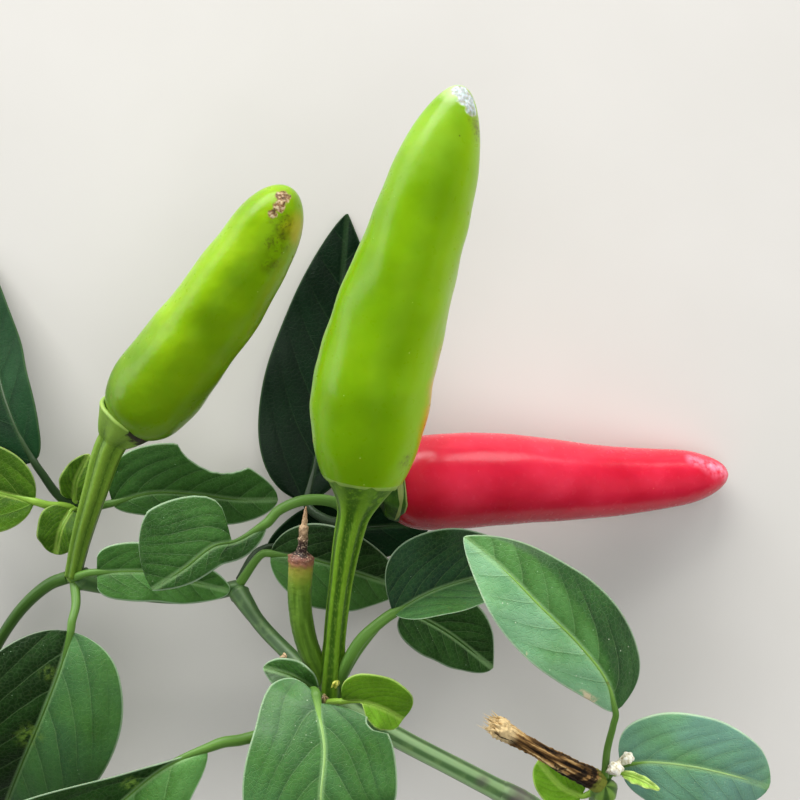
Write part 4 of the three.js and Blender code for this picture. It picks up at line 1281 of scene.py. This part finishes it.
def leaf_skin(name, greens, vein, margin, underside, fields=(), burns=(), mines=(), **shine):
    """A blade's skin. Each half's tone picks its green, from the darkest to the palest."""
    gloss = {"Coat_Weight": 0.1, "Coat_Roughness": 0.35, "Specular_IOR_Level": 0.3,
             "Subsurface_Weight": 0.05, "Subsurface_Scale": 0.0006}
    skin = Finish(name, **{**gloss, **shine})
    outward = skin.reading("outward")
    vein_number = skin.maths("ADD", skin.reading("vein"), skin.sway(3.0, 2.0, 0.1))
    away = skin.maths("PINGPONG", vein_number, 0.5)
    # Painted light and shade: each panel between side veins is a little lighter or darker, and darkens
    # towards its next vein.
    panel_number = {"W": skin.maths("FLOOR", vein_number)}
    painted_panel_light = skin.node("ShaderNodeTexWhiteNoise", panel_number, "Value", noise_dimensions="1D")
    painted_panel_light = skin.maths("SUBTRACT", skin.maths("MULTIPLY", painted_panel_light, 0.5), skin.maths("FRACT", vein_number))
    in_panel = skin.maths("MULTIPLY", skin.step(outward, 1.0, 0.5), 0.14)
    painted_panel_light = skin.maths("MULTIPLY", skin.maths("ADD", painted_panel_light, 0.25), in_panel)
    uneven = skin.maths("ADD", skin.sway(8, 3.0, 0.34), skin.sway(0.9, 4.0, 0.22))
    tone = skin.maths("ADD", skin.reading("tone"), skin.maths("ADD", painted_panel_light, uneven))
    colour = skin.ramp(tone, list(zip((0.0, 0.25, 0.5, 0.75, 1.0), greens)))
    # A bluish painted reflection of the sky, in soft patches.
    bloom = skin.maths("MULTIPLY", skin.reading("bloom"), skin.step(skin.noise(14, 2.0), 0.2, 0.6))
    colour = skin.lay(bloom, 0.55, colour, ink(112, 148, 158))
    colour = skin.lay(skin.reading("underside"), 0.75, colour, underside)
    side_vein = skin.maths("MULTIPLY", skin.step(away, 0.04, 0.008), skin.step(outward, 0.95, 0.3))
    # Painted shade along the side veins.
    trough = skin.maths("MULTIPLY", skin.step(away, 0.3, 0.03), skin.step(outward, 1.0, 0.6))
    net = skin.step(skin.cells(0.8, "DISTANCE_TO_EDGE"), 0.12, 0.0)
    colour = skin.lay(trough, 0.14, colour, greens[0])
    colour = skin.lay(net, 0.045, colour, vein)
    drawn = skin.maths("ADD", 0.13, skin.maths("MULTIPLY", skin.reading("underside"), 0.25))
    colour = skin.lay(side_vein, drawn, colour, vein)
    near_rib = skin.step(skin.reading("reach"), 0.75, 0.3)
    colour = skin.lay(near_rib, 0.35, colour, vein)
    colour = skin.lay(specks(skin, 1.3, 0.4, 0.11), 0.5, colour, margin)
    at_margin = skin.step(skin.reading("margin"), 0.4, 0.1)
    paleness = skin.maths("ADD", 0.35, skin.maths("MULTIPLY", skin.reading("tone"), 0.5))
    colour = skin.lay(at_margin, paleness, colour, margin)
    for place, radius in fields:
        flecks = skin.maths("MULTIPLY", specks(skin, 0.9, 0.5, 0.14), skin.spot(place, radius, 0.6))
        colour = skin.lay(flecks, 0.85, colour, ink(206, 216, 190))
    for place, radius in mines:
        tunnels = skin.step(skin.noise(0.9, 3.0), 0.36, 0.66)
        eaten = skin.maths("MULTIPLY", skin.glow(place, radius * 1.4), tunnels)
        colour = skin.lay(eaten, 0.8, colour, ink(118, 150, 56))
    for place, radius in burns:
        near_margin = skin.step(skin.reading("margin"), 1.5, 0.7)
        colour = skin.lay(skin.spot(place, radius, 0.9), near_margin, colour, ink(202, 188, 152))
    roughness = skin.maths("ADD", skin.maths("MULTIPLY", skin.noise(0.8, 3.0), 0.2), 0.4)
    pores = skin.bump(skin.noise(0.16, 2.0), 0.02)
    netted = skin.bump(net, -0.03, pores)
    return skin.finish(colour, roughness, skin.bump(side_vein, -0.03, netted))


LEAF_GREENS = [ink(18, 42, 10), ink(41, 79, 26), ink(66, 113, 44), ink(94, 147, 76), ink(132, 179, 122)]
YOUNG_GREENS = [ink(52, 84, 16), ink(84, 126, 22), ink(104, 152, 34), ink(132, 180, 52), ink(160, 204, 84)]
# The shaded greens are painted shade, for leaves that lie in shadow under others.
SHADED_GREENS = [ink(3, 15, 6), ink(7, 26, 11), ink(12, 38, 18), ink(24, 56, 29), ink(38, 74, 42)]
BLADE_SKINS = {
    "leaf": leaf_skin("skin_leaf", LEAF_GREENS, ink(150, 188, 124), ink(182, 208, 172), ink(100, 130, 66),
                      fields=[((16.3, -35.2, 54), 5), ((25.6, -41.2, 54), 6), ((34.9, -40, 52), 5),
                              ((-18, -51, 49), 7)],
                      burns=[((29.4, -46.6, 52), 2.4), ((20, -40, 54), 1.6), ((25, -44, 53), 0.9)],
                      mines=[((-63, -48.4, 28), 2), ((-66.4, -60, 28), 2.4), ((-44.6, -63, 45), 1.6)]),
    "leaf_young": leaf_skin("skin_leaf_young", YOUNG_GREENS, ink(176, 206, 96), ink(186, 210, 120),
                            ink(128, 164, 60), Specular_IOR_Level=0.12, Coat_Weight=0.0),
    "leaf_shaded": leaf_skin("skin_leaf_shaded", SHADED_GREENS, ink(52, 78, 44), ink(60, 88, 52),
                             ink(44, 66, 36), Specular_IOR_Level=0.07, Coat_Weight=0.0),
}


def rib_skin(name, dark, mid, fresh, pale, scars=()):
    """The skin of a leaf's stalk and midrib, paler where the leaf's own tone is paler."""
    skin = Finish(name, roughness=0.45, Coat_Weight=0.06, Coat_Roughness=0.4, Specular_IOR_Level=0.3)
    streaks = skin.noise(1.0, 3.0, skin.drawn_out(along=0.15, around=10.0))
    stray = skin.maths("MULTIPLY", skin.maths("SUBTRACT", streaks, 0.5), 0.5)
    tone = skin.maths("ADD", skin.reading("tone"), stray)
    colour = skin.ramp(tone, [(0.0, dark), (0.45, mid), (0.78, fresh), (1.0, pale)])
    for place, radius in scars:
        colour = skin.lay(skin.spot(place, radius, 0.6), 0.8, colour, ink(96, 78, 46))
    # Painted shade in the channel on the stalk's upper side.
    channel = skin.step(skin.maths("ABSOLUTE", skin.reading("around")), 0.09, 0.02)
    colour = skin.lay(channel, 0.3, colour, dark)
    return skin.finish(colour, None, skin.bump(streaks, 0.04))


RIB_SKINS = {
    "leaf": rib_skin("skin_rib", ink(46, 78, 24), ink(88, 128, 50), ink(126, 168, 76), ink(170, 202, 142),
                     scars=[((32.9, -45, 52), 1.1)]),
    "leaf_young": rib_skin("skin_rib_young", ink(88, 128, 30), ink(134, 172, 60), ink(162, 194, 88),
                           ink(190, 214, 120)),
    # The shaded rib's dark colours are painted shade too.
    "leaf_shaded": rib_skin("skin_rib_shaded", ink(22, 40, 18), ink(36, 58, 28), ink(48, 72, 36),
                            ink(60, 86, 46)),
}

# %% [markdown]
# ## Leaf stalks and midribs
# A leaf's stalk has a shallow channel on its upper side and runs on as the midrib, thinner and thinner
# to the tip. The stem tree sweeps it too. Along the blade its line is let down so that only the back
# of the rib shows above the blade and the rest stands out below.

# %% Growing the leaves
RIB_TIP = 0.2  # radius of a midrib at the leaf's tip
RIB_FADE = 0.23  # share of the blade over which it thins most
RIB_PROUD = 0.08  # how far a midrib stands above the blade
RIB_END = 0.985  # share of the blade where the midrib ends
RIB_SINK = 0.12  # share of the blade over which it sinks into it
FEWEST_RIB_RINGS = 20
AIM = 0.3  # share of the midrib that the stalk's line aims for, so that the two meet in one bend
THICKNESS_OF_STALK = 0.9
STALK_TAPER = 0.8  # what is left of it where the stalk meets the blade
STALK_TONE = 0.38  # a leaf's stalk, before it pales into the midrib
TONE_CHANGE = 5  # millimetres of the blade over which it pales


def rib_mesh(name, leaf):
    thick = leaf.get("thick", THICKNESS_OF_STALK)
    rib = Line(leaf["rib"])
    foot = Line([*leaf["stalk"], leaf["rib"][0], rib.at(np.array([AIM]))[0]])
    reached = foot.length - AIM * rib.length
    rings = max(FEWEST_RINGS, int(reached * RINGS_PER_MM))
    lower_part = np.linspace(0, reached / foot.length, rings, endpoint=False)
    shares = np.linspace(0, RIB_END, max(FEWEST_RIB_RINGS, int(rib.length * RINGS_PER_MM)))
    radii = RIB_TIP + (thick * STALK_TAPER - RIB_TIP) * np.exp(-shares / RIB_FADE) * (1 - shares)
    _, _, out = rib.directions(shares)
    sunk = (radii - RIB_PROUD) * np.clip(shares / RIB_SINK, 0, 1)
    rib_places = rib.at(shares) - out * sunk[:, None]
    foot_places = foot.at(lower_part)
    foot_radii = np.linspace(thick, thick * STALK_TAPER, len(lower_part))
    route = Line([*foot_places, *rib_places], smooth=False)
    finish = RIB_SKINS[leaf.get("skin", leaf.get("finish", "leaf"))]
    mesh = swept(name, route, route.shares, np.append(foot_radii, radii), Material=finish, Sides=20,
                 Ridges=3, Ridge_Height=0.03, Channel_Depth=0.18)
    along = np.zeros(len(mesh.vertices), np.float32)
    mesh.attributes["along"].data.foreach_get("value", along)
    on_blade = np.clip((along - reached) / TONE_CHANGE, 0, 1)
    rib_tone = leaf.get("rib_tone", np.mean(leaf.get("tone", 0.5)))
    stalk_tone = leaf.get("stalk_tone", STALK_TONE)
    tone = stalk_tone + on_blade * (rib_tone - stalk_tone)
    mesh.attributes.new("tone", "FLOAT", "POINT").data.foreach_set("value", tone.astype(np.float32))
    return mesh


def joined(name, first, second):
    """Two objects as one, which keeps both their finishes."""
    with bpy.context.temp_override(active_object=first, selected_editable_objects=[first, second]):
        bpy.ops.object.join()
    first.name = name
    first.data.name = name
    return first


for name, leaf in LEAVES.items():
    finish = leaf.get("finish", "leaf")
    blade = piece_from(blade_mesh(name, leaf), BLADE_SKINS[leaf.get("skin", finish)])
    rib = piece_from(rib_mesh(name + "_rib", leaf))
    piece = joined(name, blade, rib)
    hand_in(piece, name)
    print(name, "has", len(piece.data.polygons), "faces")

# %% [markdown]
# ## Splinters
# Where a stalk has dried and broken, its fibres stand out of the break like a worn brush. One modelled
# splinter is set out many times by a node tree over a small patch of faces. Each takes its direction from
# the patch and is then tilted, turned and scaled by seeded chance, so that no two are alike.

# %% The splinter tree


def splinter_tree():
    """Scatters thin pointed fibres over the faces of a patch, standing along their normals."""
    tree = bpy.data.node_groups.new("splinters on a break", "GeometryNodeTree")
    tree.interface.new_socket(name="Geometry", in_out="INPUT", socket_type="NodeSocketGeometry")
    sockets = {
        "Per Area": socket_in(tree, "Per Area", "NodeSocketFloat", 2e6),
        "Length": socket_in(tree, "Length", "NodeSocketFloat", 0.0015),
        "Radius": socket_in(tree, "Radius", "NodeSocketFloat", 0.00015),
        "Tilt": socket_in(tree, "Tilt", "NodeSocketFloat", 0.4),
        "Along": socket_in(tree, "Along", "NodeSocketFloat", 20.0),
        "Seed": socket_in(tree, "Seed", "NodeSocketInt", 3),
        "Material": socket_in(tree, "Material", "NodeSocketMaterial"),
    }
    tree.interface.new_socket(name="Geometry", in_out="OUTPUT", socket_type="NodeSocketGeometry")
    b = Builder(tree)
    given = tree.nodes.new("NodeGroupInput").outputs
    scatter = {"Mesh": given["Geometry"], "Density": given["Per Area"], "Seed": given["Seed"]}
    points = b.node("GeometryNodeDistributePointsOnFaces", scatter)
    upright = points.node.outputs["Rotation"]
    back = b.maths("MULTIPLY", given["Tilt"], -1.0)
    low = b.node("ShaderNodeCombineXYZ", {0: back, 1: back, 2: -math.pi})
    high = b.node("ShaderNodeCombineXYZ", {0: given["Tilt"], 1: given["Tilt"], 2: math.pi})
    tilt = b.node("FunctionNodeRandomValue", {0: low, 1: high, 8: given["Seed"]}, data_type="FLOAT_VECTOR")
    turn = b.node("FunctionNodeRotateRotation", {0: upright, 1: tilt}, rotation_space="LOCAL")
    sizes = b.node("FunctionNodeRandomValue", {0: (0.6, 0.6, 0.3), 1: (1.3, 1.3, 1.2), 8: given["Seed"]},
                   data_type="FLOAT_VECTOR")
    cone = b.node("GeometryNodeMeshCone", {"Vertices": 6, "Side Segments": 3, "Radius Top": 0.0,
                                           "Radius Bottom": given["Radius"], "Depth": given["Length"]})
    placed = {"Points": points, "Instance": cone, "Rotation": turn, "Scale": sizes}
    mesh = b.node("GeometryNodeInstanceOnPoints", placed)
    mesh = b.node("GeometryNodeRealizeInstances", {"Geometry": mesh})
    mesh = b.store(mesh, "along", given["Along"])
    mesh = b.node("GeometryNodeSetShadeSmooth", {"Geometry": mesh})
    mesh = b.node("GeometryNodeSetMaterial", {"Geometry": mesh, "Material": given["Material"]})
    tree.links.new(mesh, tree.nodes.new("NodeGroupOutput").inputs[0])
    return tree, sockets


SPLINTER_TREE, SPLINTER_SOCKETS = splinter_tree()


def splinters(name, line, share, radius, **values):
    """Splinters over a round patch across a line, standing ahead of it."""
    sides = 12
    angles = np.linspace(0, 2 * np.pi, sides, endpoint=False)
    ring = turned(line, np.array([share]), np.full((1, sides), radius), angles)[0]
    patch = mesh_from(name + "_patch", ring, [tuple(range(sides))])
    patch_object = piece_from(patch)
    mesh = grown(patch_object, SPLINTER_TREE, SPLINTER_SOCKETS, **values)
    bpy.data.objects.remove(patch_object)
    mesh.name = name
    return piece_from(mesh)


# %% [markdown]
# ## The stalk without a fruit
# One stalk has lost its fruit. It is green up to a shoulder, where a cork layer has sealed it in rusty
# brown. Past that a thin black neck and a dry tan point in short joints are left. The shoulder and the
# joints are sharp steps, so the radius is given as pairs of a share and a radius, set close together
# where it steps.

# %% Its shape
bare = {
    "points": [(-13.4, -48.4, 36), (-16.1, -41, 38), (-17, -33.9, 40), (-16.7, -27.8, 41),
               (-16.2, -22.5, 42), (-15.7, -17.8, 43)],
    "radii": [(0, 1.7), (0.1, 1.85), (0.3, 1.95), (0.55, 2.0), (0.66, 2.1), (0.7, 2.2), (0.725, 2.12),
              (0.738, 1.7), (0.745, 1.15), (0.76, 0.9), (0.8, 0.78), (0.822, 0.88), (0.835, 0.7),
              (0.87, 0.72), (0.89, 0.66), (0.9, 0.46), (0.93, 0.48), (0.95, 0.34), (0.97, 0.3), (1, 0.1)],
    "rough": [(0, 0.015), (0.66, 0.05), (0.75, 0.24), (1, 0.26)],
}
BARE_RINGS = 190
BARE_SIDES = 40
ROUGH_SIZE = 0.5  # millimetres across the small lumps of dead tissue


def rough_rings(name, part, rings, sides, readings=None, ahead=0.0, raised=0.0):
    """A turned piece whose radius wanders, by the share of it that rough gives along it, and is raised."""
    line = Line(part["points"])
    shares = np.linspace(0, 1, rings)
    angles = np.linspace(-np.pi, np.pi, sides, endpoint=False)
    radii = np.interp(shares, *np.transpose(part["radii"]))[:, None] * np.ones(sides)
    smooth = turned(line, shares, radii, angles)
    lumps = swells_at(smooth, ROUGH_SIZE) + 0.5 * swells_at(smooth, ROUGH_SIZE * 2.6)
    rough = np.interp(shares, *np.transpose(part["rough"]))[:, None]
    radii = radii * (1 + rough * lumps) + raised
    values = {"along": shares[:, None] * line.length, "around": angles / (2 * np.pi), **(readings or {})}
    return closed_rings(name, line, shares, radii, angles, values, ahead)


def bare_skin():
    skin = Finish("skin_bare_stalk", Coat_Weight=0.04, Coat_Roughness=0.4, Specular_IOR_Level=0.3)
    stripes = skin.noise(1.0, 3.0, skin.drawn_out(along=0.1, around=11.0))
    green = skin.ramp(stripes, [(0.3, ink(52, 80, 16)), (0.5, ink(72, 106, 24)), (0.7, ink(98, 134, 42))])
    share = skin.maths("DIVIDE", skin.reading("along"), Line(bare["points"]).length)
    share = skin.maths("ADD", share, skin.sway(1.0, 4.0, 0.05))
    dying = skin.ramp(share, [(0.0, ink(80, 114, 28)), (0.58, ink(110, 136, 34)), (0.67, ink(136, 132, 48)),
                              (0.7, ink(132, 88, 62)), (0.73, ink(120, 78, 66)), (0.745, ink(38, 24, 24)),
                              (0.8, ink(52, 36, 32)), (0.835, ink(120, 96, 72)), (0.9, ink(178, 148, 112)),
                              (1.0, ink(150, 116, 82))])
    colour = skin.mix(skin.step(share, 0.5, 0.66), green, dying)
    dead = skin.step(share, 0.69, 0.74)
    grain = skin.noise(0.28, 4.0)
    colour = skin.lay(skin.step(grain, 0.54, 0.7), dead, colour, ink(196, 172, 142))
    colour = skin.lay(skin.step(grain, 0.42, 0.3), dead, colour, ink(38, 26, 22))
    colour = skin.lay(specks(skin, 0.8, 0.4, 0.11), 0.6, colour, ink(42, 54, 20))
    return skin.finish(colour, None, skin.bump(grain, 0.07))


bare_finish = bare_skin()
stub = piece_from(rough_rings("bare_stalk", bare, BARE_RINGS, BARE_SIDES), bare_finish)
fibres = splinters("bare_stalk_fibres", Line(bare["points"]), 0.83, 0.75, Material=bare_finish,
                   Per_Area=9e6, Length=0.0021, Radius=0.00016, Tilt=0.22, Along=28.0, Seed=5)
print("faces of the stalk's splinters:", len(fibres.data.polygons))
hand_in(joined("bare_stalk", stub, fibres), "bare_stalk")

# %% [markdown]
# ## The dead twig
# The twig has died back and snapped. Its bark has gone, and the wood's fibres run along it in ropes, straw
# coloured above and black beneath. A noise that is drawn out along the twig moves the rings in
# and out into ropes. The break is ragged, since each rope ends at its own length, and splinters stand out
# of it.

# %% Its shape
twig = {
    "points": [(33.2, -63.8, 43), (24.2, -57.8, 49), (14.6, -51.5, 53)],
    "radii": [(0, 1.7), (0.12, 1.75), (0.2, 1.6), (0.5, 1.28), (0.75, 1.22), (0.86, 1.42), (0.93, 1.72),
              (0.985, 1.62), (0.992, 1.35), (0.997, 0.8), (1, 0.2)],
    "rough": [(0, 0.05), (0.1, 0.1), (0.85, 0.14), (1, 0.3)],
}
TWIG_RINGS = 170
TWIG_SIDES = 72
ROPE_DEPTH = 0.3
BREAK_START = 0.93  # share of the twig past which its end is ragged
BREAK_LENGTH = 0.07


def ropes(shares, angles):
    """Long ropes of fibre, as noise that is drawn out along the twig."""
    around = np.stack([np.sin(angles), np.cos(angles)], axis=-1) * 2.6
    places = np.zeros((len(shares), len(angles), 3))
    places[..., :2] = around + 0.25 * np.sin(7 * shares)[:, None, None]
    places[..., 2] = shares[:, None] * 3
    return swells_at(places, 1)


twig_shares = np.linspace(0, 1, TWIG_RINGS)
twig_angles = np.linspace(-np.pi, np.pi, TWIG_SIDES, endpoint=False)
rope = ropes(twig_shares, twig_angles)
ragged = np.clip((twig_shares - BREAK_START) / BREAK_LENGTH, 0, 1)[:, None] * (1.8 * rope - 0.4)
twig_mesh = rough_rings("dead_twig", twig, TWIG_RINGS, TWIG_SIDES, {"rope": rope}, ragged,
                        ROPE_DEPTH * rope)


def dead_skin():
    skin = Finish("skin_dead_wood", roughness=0.85, Specular_IOR_Level=0.2)
    grain = skin.noise(0.4, 5.0, skin.drawn_out(along=0.06, around=7.0), 0.3)
    height = skin.maths("ADD", grain, skin.maths("MULTIPLY", skin.reading("rope"), 0.35))
    colour = skin.ramp(height, [(0.34, ink(26, 18, 11)), (0.48, ink(84, 60, 32)), (0.6, ink(144, 110, 64)),
                                (0.76, ink(212, 182, 126))])
    # The twig is black along one side and towards its foot.
    low_down = skin.maths("MULTIPLY", skin.maths("SUBTRACT", 13.0, skin.reading("along")), 0.028)
    above = skin.maths("MULTIPLY", skin.reading("around"), 0.9)
    black_side = skin.maths("SUBTRACT", skin.maths("ADD", skin.noise(1.8, 4.0), low_down), above)
    colour = skin.lay(skin.step(black_side, 0.6, 0.7), 0.9, colour, ink(24, 18, 14))
    torn = skin.maths("MULTIPLY", skin.step(skin.reading("along"), 19.5, 21.5), skin.step(grain, 0.4, 0.5))
    colour = skin.lay(torn, 0.8, colour, ink(210, 186, 138))
    wavy = skin.maths("ADD", skin.reading("along"), skin.maths("MULTIPLY", skin.noise(1), 2.0))
    collar = skin.step(wavy, 3.6, 2.2)
    colour = skin.lay(collar, 0.85, colour, ink(126, 134, 52))
    return skin.finish(colour, None, skin.bump(grain, 0.3))


dead_wood = dead_skin()
twig_piece = piece_from(twig_mesh, dead_wood)
fibres = splinters("dead_twig_fibres", Line(twig["points"]), 0.975, 1.45, Material=dead_wood,
                   Per_Area=7e6, Length=0.0022, Radius=0.00018, Tilt=0.3, Along=24.0, Seed=8)
print("faces of the twig's splinters:", len(fibres.data.polygons))
hand_in(joined("dead_twig", twig_piece, fibres), "dead_twig")

# %% [markdown]
# ## Buds
# Two flower buds by the right cluster have dried before they opened. They are short swellings with five
# folds, so the stem tree makes them with five high ridges, and their skin is papery.

# %% The buds
BUDS = {
    "bud_upper": {"points": [(36.4, -60.4, 44), (38, -58.4, 46.4)], "radii": [0.5, 1]},
    "bud_lower": {"points": [(34.6, -61.6, 43.6), (35.6, -59.8, 48.2)], "radii": [0.6, 1.2]},
}


def bud_skin():
    skin = Finish("skin_bud", roughness=0.8)
    papery = skin.noise(0.5, 4.0)
    colour = skin.ramp(papery, [(0.28, ink(150, 132, 88)), (0.42, ink(216, 208, 180)),
                                (0.6, ink(244, 242, 230))])
    green = skin.step(skin.reading("along"), 1.6, 0.4)
    colour = skin.mix(green, colour, ink(128, 152, 72))
    return skin.finish(colour, None, skin.bump(papery, 0.12))


dry_bud = bud_skin()
for name, bud in BUDS.items():
    mesh = limb(name, bud["points"], bud["radii"], Material=dry_bud, Ridges=5, Ridge_Height=0.14)
    hand_in(piece_from(mesh), name)

# %% [markdown]
# ## Small growths at the nodes
# A node is never bare. At the middle one sit a yellowish bud that hasn't woken and the dry brown scar of a
# fallen bract, and lower on the back stem a leaf has left a tan scar. They are too small for a solid of
# their own. Each is a short swelling from the stem tree, so it only needs two points and its radii.

# %% The growths
GROWTHS = {
    "sleeping_bud": {"points": [(-11.7, -49.8, 38.2), (-10.7, -47.6, 39.4)], "radii": [0.5, 0.7],
                     "skin": stem_skin("skin_sleeping_bud", ink(138, 150, 40), ink(206, 204, 92))},
    "bract_scar": {"points": [(-13.3, -51.6, 38.6), (-12.9, -50.2, 40)], "radii": [0.7, 0.9],
                   "skin": stem_skin("skin_bract_scar", ink(84, 66, 40), ink(146, 124, 84))},
    "leaf_scar": {"points": [(-20.8, -45.9, 28.8), (-20.2, -45.5, 30)], "radii": [0.6, 0.7],
                  "skin": stem_skin("skin_leaf_scar", ink(150, 118, 80), ink(206, 178, 138))},
}
for name, growth in GROWTHS.items():
    mesh = limb(name, growth["points"], growth["radii"], Material=growth["skin"], Ridges=5,
                Ridge_Height=0.12)
    piece = piece_from(mesh)
    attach(piece, "root")
    pieces.append(piece)

# %% [markdown]
# ## The floor, the light and the camera
# The floor is a plain pale sheet. A wide soft light stands beyond the fruits' tips, as the open sky does
# for a plant against a wall, and a narrow strip under it draws the long shine on the fruits. Weaker soft
# lights at the left and beyond at the right fill the shadows. Two more, overhead and low at the right,
# light the skins without a reflection, which keeps the leaves' greens deep. One bright sun would be
# simpler, but its hard shadows would hide half the leaves. The camera looks straight down.

# %% The floor
FLOOR_SIZE = 3.0
floor_mesh = bpy.data.meshes.new("floor")
side = FLOOR_SIZE / 2
corners = [(-side, -side, 0), (side, -side, 0), (side, side, 0), (-side, side, 0)]
floor_mesh.from_pydata(corners, [], [(0, 1, 2, 3)])
paper = Finish("floor_paper", roughness=0.9)
paper_colour = paper.mix(paper.noise(40, 3.0), ink(198, 195, 189), ink(207, 204, 199))
floor = piece_from(floor_mesh, paper.finish(paper_colour))

# %% The lights
LIT_PLACE = Vector((0, 0, 0.03))  # metres, the middle of the sprig


def soft_light(name, place, size, watts, tint, shines=True):
    """A soft box that faces the sprig. One that doesn't shine lights the skins without a reflection."""
    data = bpy.data.lights.new(name, "AREA")
    data.shape = "RECTANGLE"
    data.size, data.size_y = size
    data.energy = watts
    data.color = tint
    lamp = bpy.data.objects.new(name, data)
    lamp.location = place
    lamp.rotation_euler = (LIT_PLACE - Vector(place)).to_track_quat("-Z", "Y").to_euler()
    lamp.visible_glossy = shines
    bpy.context.scene.collection.objects.link(lamp)


soft_light("sky_beyond", (-0.26, 0.86, 0.4), (1.0, 0.5), 13, (1.0, 0.99, 0.97))
soft_light("sky_left", (-0.75, 0.3, 0.2), (0.8, 0.4), 3.2, (0.97, 0.985, 1.0))
soft_light("bright_strip", (-0.35, 0.9, 0.22), (0.5, 0.05), 1.0, (1.0, 1.0, 1.0))
soft_light("sky_right", (0.52, 0.78, 0.34), (0.34, 0.3), 2.2, (1.0, 1.0, 1.0))
soft_light("wall_right", (0.78, -0.1, 0.34), (0.5, 0.5), 2.1, (1.0, 0.99, 0.97), shines=False)
soft_light("overhead", (0.1, -0.1, 0.9), (0.8, 0.8), 4, (0.97, 0.985, 1.0), shines=False)
world = bpy.data.worlds.new("room")
world.use_nodes = True
world.node_tree.nodes["Background"].inputs["Color"].default_value = (0.9, 0.94, 1.0, 1.0)
world.node_tree.nodes["Background"].inputs["Strength"].default_value = 0.22
world.cycles_visibility.glossy = False
bpy.context.scene.world = world
bpy.context.scene.view_settings.view_transform = "Standard"

# %% The camera
CAMERA_HEIGHT = 250  # millimetres over the floor
PICTURE_WIDTH = 800  # pixels
FOCAL_PIXELS = 1240  # focal length, in widths of one pixel
SENSOR_WIDTH = 36
camera_data = bpy.data.cameras.new("camera")
camera_data.sensor_width = SENSOR_WIDTH
camera_data.lens = SENSOR_WIDTH * FOCAL_PIXELS / PICTURE_WIDTH
camera_data.clip_start = 0.01
camera = bpy.data.objects.new("camera", camera_data)
camera.location = (np.array([0, 0, CAMERA_HEIGHT]) + SHIFT) * MM
bpy.context.scene.collection.objects.link(camera)
bpy.context.scene.camera = camera

# %% Sizes and the end
print("faces in all:", sum(len(piece.data.polygons) for piece in pieces))
